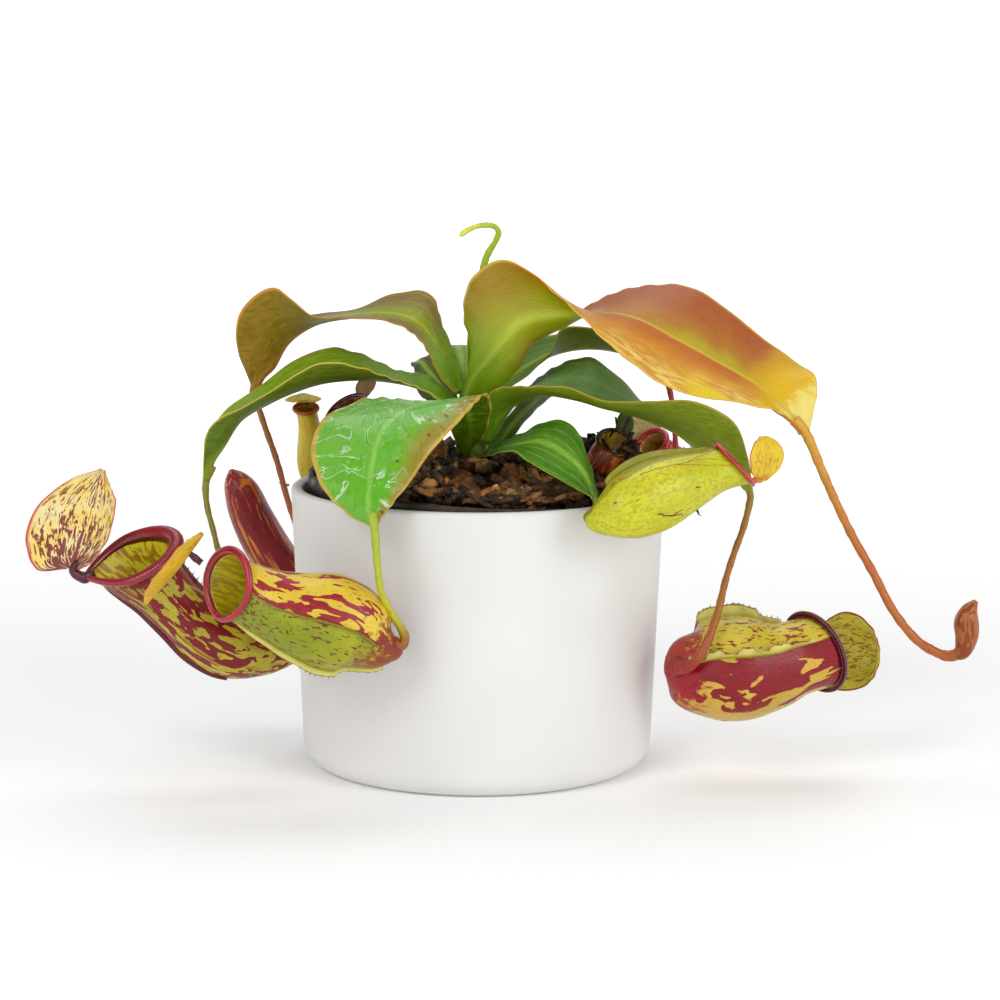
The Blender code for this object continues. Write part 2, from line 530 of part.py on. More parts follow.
CLOSED_PITCHERS = {
    "pitcher_closed_left": ("pitcher_red", (1, 0, 0), [
        (-65, 50.5, 46, 1.5, 1.5), (-66.5, 49, 50, 5, 5), (-71, 47, 57.5, 7.8, 7.8),
        (-78, 44, 69, 8.2, 8.2), (-83, 42, 79.5, 7.6, 7.6), (-86, 40, 88, 6.6, 6.8),
        (-88.5, 39, 93.5, 4.4, 4.6), (-90, 38, 97, 0.9, 1)]),
    "pitcher_bud_right": ("pitcher_green", (1, 0, 0), [
        (164.8, -24, 43.2, 1.9, 1.9), (167.4, -24, 45, 3, 3), (168.6, -24, 50, 4, 4),
        (168.4, -24, 55, 4.3, 4.6), (169.4, -24, 59, 3, 3.4), (171.5, -24, 62.4, 0.8, 0.8)]),
}

# Loose scraps on the soil: centre x, y, length, width, turn in degrees.
SCRAPS = {
    "bark_scrap_front": (9.0, -44.0, 15.0, 9.0, 20.0),
    "leaf_scrap_left": (-14.5, -36.0, 11.0, 7.0, -30.0),
}


def make_scrap(name, centre_x, centre_y, length, width, turn):
    """A crumpled scrap of bark or dead leaf that lies on the soil."""
    bearing = Vector((math.cos(math.radians(turn)), math.sin(math.radians(turn)), 0))
    across = Vector((-bearing.y, bearing.x, 0))
    stations = []
    for step, spread in zip((-0.5, -0.2, 0.15, 0.5), (0.45, 1.0, 0.85, 0.35)):
        rib = Vector((centre_x, centre_y, 0)) + bearing * (length * step)
        edges = [rib + across * (side * width * spread / 2) for side in (0, -1, 1)]
        for point, rise in zip(edges, (4.4, 2.6, 2.9)):
            point.z = ground(point.x, point.y) + rise
        stations.append(edges)
    add_blade(name, "bark", stations, thickness=1.4)


def make_pots_and_soil():
    """The two pots and what fills them."""
    make_cover_pot()
    tilt = bpy.data.objects.new("nursery_pot_tilt", None)
    PARTS.objects.link(tilt)
    tilt.location = (0, 0, POT_HEIGHT * MM)
    tilt.rotation_euler = (LINER_TILT_X, LINER_TILT_Y, 0)
    make_nursery_pot(tilt)
    make_soil(tilt)
    for name, values in SCRAPS.items():
        make_scrap(name, *values)


def make_plant():
    """Stem, leaves, tendrils, traps and lids."""
    make_stem()
    for name, (surface, stations) in LEAVES.items():
        add_blade(name, surface, stations)
    for name, (radius, end_scale, route) in TENDRILS.items():
        add_tube(name, "tendril", route, radius, end_scale=end_scale)
    for name, (surface, width_along, facing, tube, stations) in OPEN_PITCHERS.items():
        mouth = add_open_pitcher("pitcher_" + name, surface, stations, width_along, facing)
        add_mouth_rim("mouth_rim_" + name, mouth, facing, tube)
    for name, (surface, width_along, stations) in CLOSED_PITCHERS.items():
        add_closed_pitcher(name, surface, stations, width_along)
    for name, (surface, across, cup, half_widths, route) in LIDS.items():
        add_lid(name, surface, route, half_widths, across, cup)
    add_blade("lid_far_left", "lid", HEART_LID, LID_THICKNESS)


PARTS = clear_scene()
make_pots_and_soil()
make_plant()
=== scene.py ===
"""Potted pitcher plant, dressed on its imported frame.

The frame's origin is the centre of the pot's underside, +X to the right, +Y to the back, +Z up.
Routes and stations are written in millimetres and brought to metres by MM.
"""
import math
import random

import bmesh
import bpy
from mathutils import Matrix, Vector, noise


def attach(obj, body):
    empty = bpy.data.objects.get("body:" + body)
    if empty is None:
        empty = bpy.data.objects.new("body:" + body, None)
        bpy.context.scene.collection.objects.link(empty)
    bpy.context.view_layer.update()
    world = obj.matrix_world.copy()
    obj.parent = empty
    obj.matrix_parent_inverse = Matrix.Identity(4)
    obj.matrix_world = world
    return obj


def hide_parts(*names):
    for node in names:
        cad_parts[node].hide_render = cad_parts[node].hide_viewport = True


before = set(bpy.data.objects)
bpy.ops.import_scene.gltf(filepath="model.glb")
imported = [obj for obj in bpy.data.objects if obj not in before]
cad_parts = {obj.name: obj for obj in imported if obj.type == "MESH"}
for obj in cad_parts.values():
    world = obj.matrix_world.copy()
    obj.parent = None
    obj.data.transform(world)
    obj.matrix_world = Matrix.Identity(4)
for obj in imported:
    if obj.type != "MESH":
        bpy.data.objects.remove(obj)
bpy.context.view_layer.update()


# ---------------------------------------------------------------------------------------------
# View. A long lens a little over a metre in front of the pot and just above the leaves, tipped
# nine degrees down, so that the pot's rim is a shallow oval. Colours are shown as they are mixed.
# ---------------------------------------------------------------------------------------------
def aim_camera(place, pitch, yaw, roll, lens):
    ahead = Vector((math.sin(yaw) * math.cos(pitch), math.cos(yaw) * math.cos(pitch), -math.sin(pitch)))
    level = Vector((math.cos(yaw), -math.sin(yaw), 0))
    upright = level.cross(ahead)
    right = level * math.cos(roll) - upright * math.sin(roll)
    up = upright * math.cos(roll) + level * math.sin(roll)
    camera = bpy.data.objects.new("camera", bpy.data.cameras.new("camera"))
    bpy.context.scene.collection.objects.link(camera)
    turn = Matrix((right, up, -ahead)).transposed().to_4x4()
    camera.matrix_world = Matrix.Translation(place) @ turn
    camera.data.lens = lens
    camera.data.sensor_width = 36
    camera.data.clip_end = 20
    bpy.context.scene.camera = camera


aim_camera(place=Vector((0.0211, -1.1, 0.26505)), pitch=math.radians(8.907), yaw=math.radians(-0.693),
           roll=math.radians(-0.219), lens=114.7)
bpy.context.scene.view_settings.view_transform = "Standard"


# ---------------------------------------------------------------------------------------------
# Cover pot. Slip-cast white stoneware with a matte glaze: a slightly tapered wall four millimetres
# thick, a softened rim, a rounded foot and a flat underside. It stands on the table by itself.
# ---------------------------------------------------------------------------------------------
MM = 0.001


class Finish:
    """A surface finish: one Principled shader and the nodes that feed it."""

    def __init__(self, name, roughness):
        self.material = bpy.data.materials.new(name)
        self.material.use_nodes = True
        self.tree = self.material.node_tree
        self.shader = self.tree.nodes["Principled BSDF"]
        self.shader.inputs["Roughness"].default_value = roughness

    def set(self, **values):
        """Values or sockets for the shader, with _ for each space in a socket's name."""
        for name, value in values.items():
            self.put(self.shader.inputs[name.replace("_", " ")], value)
        return self

    def put(self, socket, value):
        if isinstance(value, bpy.types.NodeSocket):
            self.tree.links.new(value, socket)
        else:
            socket.default_value = value

    def node(self, kind, inputs, **settings):
        node = self.tree.nodes.new("ShaderNode" + kind)
        for name, value in settings.items():
            setattr(node, name, value)
        for name, value in inputs.items():
            self.put(node.inputs[name], value)
        return node

    def calc(self, operation, *values):
        return self.node("Math", dict(enumerate(values)), operation=operation).outputs[0]

    def times(self, first, second):
        return self.calc("MULTIPLY", first, second)

    def plus(self, first, second):
        return self.calc("ADD", first, second)

    def minus(self, first, second):
        return self.calc("SUBTRACT", first, second)

    def unsigned(self, value):
        return self.calc("ABSOLUTE", value)

    def shaded(self, colour, value, saturation=1.0):
        """The colour made darker (value under 1) or paler."""
        return self.node("HueSaturation", {"Color": colour, "Value": value, "Saturation": saturation}).outputs[0]

    def step(self, value, low, high, start=0.0, end=1.0):
        """A soft step from start to end while the value goes from low to high."""
        return self.node("MapRange", {"Value": value, "From Min": low, "From Max": high, "To Min": start,
                                      "To Max": end}, interpolation_type="SMOOTHSTEP").outputs[0]

    def blend(self, amount, first, second):
        return self.node("Mix", {0: amount, 6: first, 7: second}, data_type="RGBA").outputs[2]

    def grown(self, name):
        """The three numbers that a piece's mesh carries under this name."""
        vector = self.node("Attribute", {}, attribute_name=name).outputs["Vector"]
        return self.node("SeparateXYZ", {0: vector}).outputs

    def pack(self, x, y, z):
        return self.node("CombineXYZ", {0: x, 1: y, 2: z}).outputs[0]

    def place(self):
        return self.node("TexCoord", {}).outputs["Object"]

    def mottle(self, where, scale, detail=3.0, roughness=0.5, warp=0.0):
        return self.node("TexNoise", {"Vector": where, "Scale": scale, "Detail": detail,
                                      "Roughness": roughness, "Distortion": warp}).outputs[0]

    def relief(self, height, depth, strength=1.0):
        """Raises the surface by up to depth metres where height is 1."""
        bump = self.node("Bump", {"Height": height, "Distance": depth, "Strength": strength})
        self.set(Normal=bump.outputs[0])
        return self


def dye(red, green, blue):
    """A pigment from how it looks on a 0 to 255 scale. Strong colours look paler than their pigment,
    because of the white sheen on top, so they are made a little purer."""
    light = [((part / 255 + 0.055) / 1.055) ** 2.4 if part > 10 else part / 3295
             for part in (red, green, blue)]
    least, most = min(light), max(light)
    sheen = 0.75 * least * (1 - least / most)
    return tuple(part - sheen for part in light) + (1,)


def make_piece(name, points, faces, finishes, marks=None, slots=None, smooth=True):
    """A mesh piece that rides on the plant. marks are named lists with three numbers for each point."""
    mesh = bpy.data.meshes.new(name)
    mesh.from_pydata([tuple(point) for point in points], [], faces)
    for finish in finishes:
        mesh.materials.append(finish.material)
    for mark, values in (marks or {}).items():
        layer = mesh.attributes.new(mark, "FLOAT_VECTOR", "POINT")
        layer.data.foreach_set("vector", [number for value in values for number in value])
    for index, polygon in enumerate(mesh.polygons):
        polygon.use_smooth = smooth
        if slots:
            polygon.material_index = slots[index]
    skin = bmesh.new()
    skin.from_mesh(mesh)
    bmesh.ops.recalc_face_normals(skin, faces=skin.faces)
    skin.to_mesh(mesh)
    skin.free()
    piece = bpy.data.objects.new(name, mesh)
    bpy.context.scene.collection.objects.link(piece)
    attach(piece, "root")
    return piece


def turned_points(profile, steps):
    """Points and faces of a profile turned about Z; the profile starts and ends on the axis."""
    points = [(0, 0, profile[0][1] * MM)]
    for radius, height in profile[1:-1]:
        for step in range(steps):
            angle = 2 * math.pi * step / steps
            points.append((radius * math.cos(angle) * MM, radius * math.sin(angle) * MM, height * MM))
    points.append((0, 0, profile[-1][1] * MM))
    rings = len(profile) - 2
    faces = [(0, 1 + step, 1 + (step + 1) % steps) for step in range(steps)]
    for ring in range(rings - 1):
        for step in range(steps):
            a, b = 1 + ring * steps + step, 1 + ring * steps + (step + 1) % steps
            faces.append((a, a + steps, b + steps, b))
    last = len(points) - 1
    faces += [(last, last - steps + (step + 1) % steps, last - steps + step) for step in range(steps)]
    return points, faces


def bend(centre_x, centre_z, radius, start, end, steps):
    """Profile points round a corner, angles in degrees from +X."""
    angles = [math.radians(start + (end - start) * step / steps) for step in range(steps + 1)]
    return [(centre_x + radius * math.cos(a), centre_z + radius * math.sin(a)) for a in angles]


glaze = Finish("white_matte_glaze", 0.42)
cloud = glaze.mottle(glaze.place(), 14.0, 2.0)
speck = glaze.mottle(glaze.place(), 900.0, 2.0, 0.6)
glaze.set(Base_Color=glaze.blend(glaze.step(cloud, 0.35, 0.7), dye(221, 220, 218), dye(227, 226, 224)),
          Roughness=glaze.step(cloud, 0.3, 0.7, 0.38, 0.5), Specular_IOR_Level=0.4)
glaze.relief(glaze.plus(glaze.times(speck, 0.25), cloud), 0.00012, 0.5)

RIM_RADIUS, FOOT_RADIUS, RIM_HEIGHT, FOOT_ROUND, FLOOR = 65, 61.2, 96.4, 8.5, 4.5
INNER_RIM, INNER_TAPER, INNER_HEIGHT, INNER_DEPTH = 61, 3.8, 96, 86
underside = [(0, 0), (30, 0), (52, 0), (52.8, 0.02)]
outside = [(FOOT_RADIUS + (RIM_RADIUS - FOOT_RADIUS) * step / 12, FOOT_ROUND + (RIM_HEIGHT - FOOT_ROUND) * step / 12)
           for step in range(13)]
lip = bend(63.4, 96.6, 1.6, 12, 90, 5) + bend(62.5, 96.7, 1.5, 96, 176, 5)
inside = [(INNER_RIM - INNER_TAPER * step / 8, INNER_HEIGHT - INNER_DEPTH * step / 8) for step in range(9)]
pot_profile = (underside + bend(52.7, FOOT_ROUND, FOOT_ROUND, -84, -6, 12) + outside + lip + inside
               + [(55.5, 6), (52, 4.6), (30, FLOOR), (0, FLOOR)])
pot = make_piece("cover_pot_body", *turned_points(pot_profile, 160), [glaze])
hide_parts("cover_pot")


# ---------------------------------------------------------------------------------------------
# Nursery pot. Thin black plastic, thermoformed, with a rolled lip. It stands a little askew in the
# cover pot, its left side higher, and years of watering have left its rim dull and crusted.
# ---------------------------------------------------------------------------------------------
NURSERY_TILT = Matrix.Translation((0, 0, 0.098)) @ Matrix.Rotation(math.radians(3), 4, "Y") \
    @ Matrix.Rotation(math.radians(1), 4, "X")

plastic = Finish("black_nursery_plastic", 0.5)
crust = plastic.mottle(plastic.place(), 160.0, 4.0, 0.65)
plastic.set(Base_Color=plastic.blend(plastic.step(crust, 0.45, 0.68), dye(30, 24, 20), dye(92, 72, 56)),
            Roughness=plastic.step(crust, 0.4, 0.6, 0.42, 0.85))
plastic.relief(crust, 0.0005, 0.7)

lip_points, lip_faces = turned_points(
    [(0, -88.8), (45.8, -88.8), (57.3, -1.2), (57.5, 1.4), (58.0, 2.1), (58.8, 2.1), (59.3, 1.4),
     (59.3, -1.6), (58.2, -3.2), (47, -90), (0, -90)], 120)
lip_points = [NURSERY_TILT @ (Vector(p) + Vector((0, 0, 0.0007 * max(0, noise.noise(Vector(p) * 90)))))
              for p in lip_points]
nursery = make_piece("nursery_pot_body", lip_points, lip_faces, [plastic])
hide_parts("nursery_pot")


# ---------------------------------------------------------------------------------------------
# Growing mix. Dark peat, mounded towards the stem and heaped up at the back right, covered with wet
# bark chips, tan shreds and dry root fibres. It is poured in round the stem and pressed by hand.
# ---------------------------------------------------------------------------------------------
SOIL_EDGE = 56.3
DOME_RISE, DOME_RADIUS, SUNK = 9, 57.4, 2.5
HEAP_RISE, HEAP_X, HEAP_Y, HEAP_SPREAD = 12, 43, 27, 11


def soil_rise(x, y):
    """Height of the peat over the nursery pot's rim plane, in millimetres in its tilted frame."""
    dome = DOME_RISE * max(0.0, 1 - (x * x + y * y) / (DOME_RADIUS * DOME_RADIUS))
    heap = HEAP_RISE * math.exp(-((x - HEAP_X) ** 2 + (y - HEAP_Y) ** 2) / (2 * HEAP_SPREAD * HEAP_SPREAD))
    return dome + heap - SUNK


def on_soil(x, y, lift=0.0):
    """A point on the peat, in metres in the row frame."""
    return NURSERY_TILT @ (Vector((x, y, soil_rise(x, y) + lift)) * MM)


peat = Finish("damp_peat", 0.9)
crumb = peat.mottle(peat.place(), 260.0, 6.0, 0.7)
peat.set(Base_Color=peat.blend(peat.step(crumb, 0.48, 0.72), dye(24, 16, 11), dye(74, 50, 32)))
peat.relief(crumb, 0.002, 1.0)

mound_profile = [(0, -86), (45, -86), (55.4, -6)] + [(SOIL_EDGE * (1 - k / 30), 0) for k in range(30)] + [(0, 0)]
mound_points, mound_faces = turned_points(mound_profile, 110)
mound = []
for index, point in enumerate(mound_points):
    x, y = point[0] / MM, point[1] / MM
    if point[2] > -0.001:
        bumps = 1.6 * noise.noise(Vector((x, y, 3)) * 0.35) + 0.9 * noise.noise(Vector((x, y, 9)) * 0.9)
        mound.append(on_soil(x, y, bumps - 0.4))
    else:
        mound.append(NURSERY_TILT @ Vector(point))
peat_mound = make_piece("peat_mound", mound, mound_faces, [peat])
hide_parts("soil")


class Heap:
    """Loose bits gathered into one mesh, each with a shade of its own."""

    def __init__(self):
        self.points, self.faces, self.shades = [], [], []

    def add(self, points, faces, shade):
        base = len(self.points)
        self.points += points
        self.faces += [tuple(base + corner for corner in face) for face in faces]
        self.shades += [shade] * len(points)


def chip(chance, length, width, depth):
    """A crumpled flake of bark about its own centre: a 4 by 3 slab with every corner pushed about."""
    columns, rows = 5, 4
    twist = chance.uniform(-0.9, 0.9)
    arch = chance.uniform(-0.35, 0.35) * length
    points = []
    for side in (-1, 1):
        for i in range(columns):
            for j in range(rows):
                u, v = i / (columns - 1) - 0.5, j / (rows - 1) - 0.5
                taper = 1 - 0.9 * abs(u) ** 1.5
                turn = twist * u
                y = v * width * taper
                z = side * depth * 0.5 * (1 - 1.6 * abs(v) * abs(u)) + arch * (4 * u * u - 0.5) * 0.3
                jog = [chance.uniform(-0.09, 0.09) for _ in range(3)]
                points.append(Vector((u * length + jog[0] * width,
                                      y * math.cos(turn) - z * math.sin(turn) + jog[1] * width,
                                      y * math.sin(turn) + z * math.cos(turn) + jog[2] * depth * 2)))
    half = columns * rows
    faces = []
    for i in range(columns - 1):
        for j in range(rows - 1):
            a = i * rows + j
            faces.append((a, a + 1, a + rows + 1, a + rows))
            faces.append((half + a, half + a + rows, half + a + rows + 1, half + a + 1))
    rim = list(range(rows)) + [i * rows + rows - 1 for i in range(1, columns)]
    rim += [(columns - 1) * rows + j for j in range(rows - 2, -1, -1)]
    rim += [i * rows for i in range(columns - 2, 0, -1)]
    for a, b in zip(rim, rim[1:] + rim[:1]):
        faces.append((a, half + a, half + b, b))
    return points, faces


def tumble(heading, pitch, roll=0.0):
    """How a chip is turned, in radians."""
    return Matrix.Rotation(heading, 3, "Z") @ Matrix.Rotation(pitch, 3, "Y") @ Matrix.Rotation(roll, 3, "X")


def lay_chip(heap, chance, shape, turn, seat, shades):
    """Adds a turned chip to a heap, with its middle on the seat and a shade from the given range."""
    points, faces = shape
    heap.add([seat + (turn @ point) * MM for point in points], faces, (chance.uniform(*shades), chance.random(), 0))


def scatter_chips(heap, chance, count, sizes, lift, shades, steep):
    """Drops chips over the mound."""
    dropped = 0
    while dropped < count:
        x, y = chance.uniform(-54, 54), chance.uniform(-54, 54)
        length = chance.uniform(*sizes)
        if math.hypot(x, y) > 54.5 - length * 0.35:
            continue
        shape = chip(chance, length, length * chance.uniform(0.3, 0.62), length * chance.uniform(0.12, 0.28))
        turn = tumble(chance.uniform(0, 2 * math.pi), chance.uniform(-steep, steep), chance.uniform(-0.6, 0.6))
        lay_chip(heap, chance, shape, turn, on_soil(x, y, lift * chance.uniform(0.2, 1.0)), shades)
        dropped += 1


bark = Finish("crumpled_bark", 0.7)
shade = bark.grown("shade")
grain = bark.mottle(bark.place(), 380.0, 5.0, 0.75, 1.2)
lump = bark.mottle(bark.place(), 95.0, 3.0, 0.6)
wood = bark.blend(bark.step(shade[0], 0.0, 0.35), dye(18, 11, 8), dye(70, 42, 22))
wood = bark.blend(bark.step(shade[0], 0.35, 0.7), wood, dye(150, 98, 56))
wood = bark.blend(bark.step(shade[0], 0.7, 1.0), wood, dye(240, 186, 130))
wood = bark.blend(bark.step(lump, 0.42, 0.56, 0.0, 0.85), wood, dye(24, 14, 9))
wood = bark.blend(bark.step(grain, 0.53, 0.66, 0.0, 0.6), wood, dye(206, 156, 104))
wood = bark.blend(bark.step(grain, 0.36, 0.46, 0.75, 0.0), wood, dye(22, 12, 8))
bark.set(Base_Color=wood, Roughness=bark.step(grain, 0.3, 0.7, 0.35, 0.85), Specular_IOR_Level=0.5)
bark.relief(bark.plus(grain, lump), 0.0016, 1.0)

chance = random.Random(41)
dark_chips, tan_chips = Heap(), Heap()
scatter_chips(dark_chips, chance, 540, (4.0, 11.0), 2.2, (0.0, 0.5), 0.9)
scatter_chips(tan_chips, chance, 230, (4.0, 13.0), 4.4, (0.4, 1.0), 1.1)
# Chips that lie against the nursery pot's wall all round.
for heap, count, shades in ((dark_chips, 150, (0.0, 0.5)), (tan_chips, 46, (0.4, 0.95))):
    for _ in range(count):
        bearing, reach, length = chance.uniform(0, 2 * math.pi), chance.uniform(47, 52.5), chance.uniform(4, 9)
        shape = chip(chance, length, length * chance.uniform(0.3, 0.6), length * 0.2)
        turn = tumble(bearing + chance.uniform(0.9, 2.2), chance.uniform(-0.7, 0.7), chance.uniform(0.3, 1.3))
        seat = on_soil(reach * math.cos(bearing), reach * math.sin(bearing), chance.uniform(1.5, 5.0))
        lay_chip(heap, chance, shape, turn, seat, shades)
# A clump of dead bits stands at the right edge.
CLUMP_X, CLUMP_Y = 53, 3
for _ in range(46):
    length = chance.uniform(3.5, 9)
    shape = chip(chance, length, length * 0.45, length * 0.2)
    turn = tumble(chance.uniform(0, 6.28), chance.uniform(-1.2, 1.2))
    east, north = chance.gauss(0, 3.2), chance.gauss(0, 3.2)
    rise = chance.uniform(0.3, 1.0) * max(3.0, 26.0 - 3.0 * math.hypot(east, north))
    lay_chip(dark_chips, chance, shape, turn, on_soil(CLUMP_X + east * 0.6, CLUMP_Y + north, rise), (0, 0.6))
# Chips along the front edge, level with the rim.
for _ in range(60):
    bearing = chance.uniform(-2.6, -0.5)
    length = chance.uniform(4, 8)
    shape = chip(chance, length, length * 0.5, length * 0.22)
    turn = tumble(bearing + chance.uniform(0.9, 2.2), chance.uniform(-0.5, 0.5))
    reach = chance.uniform(51.5, 55.0)
    seat = on_soil(reach * math.cos(bearing), reach * math.sin(bearing), chance.uniform(4.6, 6.6))
    lay_chip(dark_chips, chance, shape, turn, seat, (0.2, 0.85))
# The largest pale flakes, in front of the stem.
for _ in range(44):
    x, y, length = chance.uniform(-34, 46), chance.uniform(-48, -14), chance.uniform(8, 15)
    if math.hypot(x, y) > 49:
        continue
    shape = chip(chance, length, length * chance.uniform(0.3, 0.5), length * 0.2)
    turn = tumble(chance.uniform(0, 6.28), chance.uniform(-0.9, 0.9), chance.uniform(-1.0, 1.0))
    lay_chip(tan_chips, chance, shape, turn, on_soil(x, y, chance.uniform(2.5, 5.5)), (0.62, 1.1))
for name, heap in (("dark_bark_chips", dark_chips), ("tan_bark_chips", tan_chips)):
    chips = make_piece(name, heap.points, heap.faces, [bark], {"shade": heap.shades})


def strand(route, radius, sides=5, end=0.35):
    """Points and faces of a thin closed strand along a route in metres, tapered to its end."""
    points, faces = [], []
    for index, point in enumerate(route):
        ahead = (route[min(index + 1, len(route) - 1)] - route[max(index - 1, 0)]).normalized()
        side = ahead.orthogonal().normalized()
        other = ahead.cross(side)
        reach = radius * (1 + (end - 1) * index / (len(route) - 1))
        points += [point + (side * math.cos(a) + other * math.sin(a)) * reach
                   for a in (2 * math.pi * step / sides for step in range(sides))]
    for ring in range(len(route) - 1):
        for step in range(sides):
            a, b = ring * sides + step, ring * sides + (step + 1) % sides
            faces.append((a, b, b + sides, a + sides))
    faces.append(tuple(range(sides)))
    faces.append(tuple(range(len(points) - sides, len(points))))
    return points, faces


fibres = Heap()
for _ in range(230):
    angle, reach = chance.uniform(0, 2 * math.pi), 53 * math.sqrt(chance.random())
    x, y, heading = reach * math.cos(angle), reach * math.sin(angle), chance.uniform(0, 2 * math.pi)
    route = []
    for step in range(5):
        if math.hypot(x, y) > 55:
            break
        route.append(on_soil(x, y, 1.2 + 2.4 * math.sin(math.pi * step / 4) * chance.random()))
        heading += chance.uniform(-0.7, 0.7)
        stride = chance.uniform(1.2, 2.8)
        x, y = x + stride * math.cos(heading), y + stride * math.sin(heading)
    if len(route) > 2:
        fibres.add(*strand(route, chance.uniform(0.12, 0.38) * MM), (chance.uniform(0.15, 0.95), chance.random(), 0))
root_fibres = make_piece("root_fibres", fibres.points, fibres.faces, [bark], {"shade": fibres.shades})

# Where each dead stalk stands, how high it is and how far it leans, in millimetres.
STALKS = ((44, 10, 19, 3), (46, 13, 22, 6), (48.5, 11, 24, 4), (50, 14, 20, -4), (46.5, 8, 16, -5),
          (49.5, 9, 18, 7), (-40, -12, 13, -8), (-36, 3, 15, -5), (-22, -40, 9, 6))
stalks = Heap()
for foot_x, foot_y, rise, lean in STALKS:
    route = [on_soil(foot_x + lean * t * t + math.sin(7 * t + rise), foot_y + 1.5 * math.sin(5 * t), rise * t)
             for t in (0, 0.2, 0.4, 0.6, 0.8, 1)]
    stalks.add(*strand(route, 0.75 * MM, 7, 0.5), (0.22, chance.random(), 0))
dead_stalks = make_piece("dead_stalks", stalks.points, stalks.faces, [bark], {"shade": stalks.shades})


# ---------------------------------------------------------------------------------------------
# Stem. Short, green and woody at the foot; the leaf stalks clasp it one above the other, so that
# little of it shows. It stands in the mix and carries every leaf.
# ---------------------------------------------------------------------------------------------
stem_skin = Finish("stem_skin", 0.5)
streak = stem_skin.mottle(stem_skin.node("VectorMath", {0: stem_skin.place(), 1: (500, 500, 90)},
                                         operation="MULTIPLY").outputs[0], 1.0, 4.0, 0.6)
stem_skin.set(Base_Color=stem_skin.blend(streak, dye(58, 82, 14), dye(118, 140, 46)))
stem_skin.relief(streak, 0.0006, 0.8)

stem_profile = [(0, 98), (5.6, 98), (5.4, 104), (4.9, 108), (5.2, 111), (4.7, 115), (4.9, 119), (4.2, 123),
                (4.3, 127), (3.2, 131), (2.2, 134), (1.2, 136), (0, 136.4)]
stem_points, stem_faces = turned_points(stem_profile, 28)
stem_points = [Vector((p[0] * (1 + 0.12 * math.sin(3 * math.atan2(p[1], p[0]) + p[2] * 300)) - 0.003, p[1], p[2]))
               for p in stem_points]
stem = make_piece("stem_body", stem_points, stem_faces, [stem_skin])
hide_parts("stem")


# ---------------------------------------------------------------------------------------------
# Leaves. Each grows from the stem on a channelled stalk, widens into a leathery strap with a strong
# midrib that stands out below, and narrows into its tendril. Old leaves are bronzed by the sun.
# ---------------------------------------------------------------------------------------------
def flowing(points, per_span):
    """Points on a smooth curve through the given vectors."""
    padded = [points[0] * 2 - points[1]] + list(points) + [points[-1] * 2 - points[-2]]
    result = []
    for index in range(len(points) - 1):
        before, start, end, after = padded[index:index + 4]
        for step in range(per_span):
            t = step / per_span
            result.append(0.5 * (2 * start + (end - before) * t
                                 + (2 * before - 5 * start + 4 * end - after) * t * t
                                 + (3 * start - before - 3 * end + after) * t * t * t))
    result.append(points[-1].copy())
    return result


ACROSS = [-1, -0.97, -0.9, -0.78, -0.64, -0.5, -0.37, -0.25, -0.15, -0.08, -0.03,
          0.03, 0.08, 0.15, 0.25, 0.37, 0.5, 0.64, 0.78, 0.9, 0.97, 1]


def grow_blade(stations, thick=0.8, rib=0.9, wave=0.35, stalk=1.7, upper=1, per_span=7):
    """Points, faces and marks of a blade.

    A station is a midrib point and two margin points, in millimetres. upper is 1 where the upper side
    faces along (near margin to far margin) x (stalk to tip), and -1 where the underside does. The marks
    are blade (share of the length, -1 to 1 across, 1 on the upper side and -1 below) and reach
    (millimetres along, millimetres across, 0).
    """
    lines = [flowing([Vector(station[side]) for station in stations], per_span) for side in range(3)]
    rows = []
    for ribs, nears, fars in zip(*lines):
        rows.append([ribs + (fars - nears) * (v / 2) + ((fars + nears) / 2 - ribs) * (v * v) for v in ACROSS])
    count, columns = len(rows), len(ACROSS)
    lengths = [0.0]
    for before, after in zip(lines[0], lines[0][1:]):
        lengths.append(lengths[-1] + (after - before).length)
    points, blade, reach = [], [], []
    for i, row in enumerate(rows):
        share = lengths[i] / lengths[-1]
        body = 1 + (stalk - 1) * max(0.0, 1 - share / 0.22) + 0.5 * max(0.0, (share - 0.93) / 0.07)
        below, above = rows[max(i - 1, 0)], rows[min(i + 1, count - 1)]
        width = (row[-1] - row[0]).length
        tops, unders = [], []
        for j, v in enumerate(ACROSS):
            along = above[j] - below[j]
            over = row[min(j + 1, columns - 1)] - row[max(j - 1, 0)]
            normal = over.cross(along).normalized() * upper
            ripple = wave * abs(v) ** 3 * math.sin(lengths[i] * 0.33 + 2.1 * v + width) * min(1, width / 14)
            centre = row[j] + normal * ripple
            edge = max(0.0, (abs(v) - 0.86) / 0.14)
            half = thick * body * 0.5 * (1 - 0.62 * edge)
            groove = -0.22 * rib * math.exp(-(v * width / 3.2) ** 2)
            veins = 0.05 * math.cos(v * 21) * min(1, width / 20)
            ridge = rib * body * math.exp(-(v * width / (2.6 + 0.06 * width)) ** 2)
            tops.append(centre + normal * (half + groove + veins))
            unders.append(centre - normal * (half + ridge))
        points += [p * MM for p in tops] + [p * MM for p in reversed(unders)]
        blade += [(share, v, 1) for v in ACROSS] + [(share, v, -1) for v in reversed(ACROSS)]
        reach += [(lengths[i], v * width / 2, 0) for v in ACROSS]
        reach += [(lengths[i], v * width / 2, 0) for v in reversed(ACROSS)]
    ring = 2 * columns
    faces = []
    for i in range(count - 1):
        for j in range(ring):
            a, b = i * ring + j, i * ring + (j + 1) % ring
            faces.append((a, b, b + ring, a + ring))
    faces.append(tuple(range(ring)))
    faces.append(tuple(range(len(points) - ring, len(points))))
    return points, faces, {"blade": blade, "reach": reach}


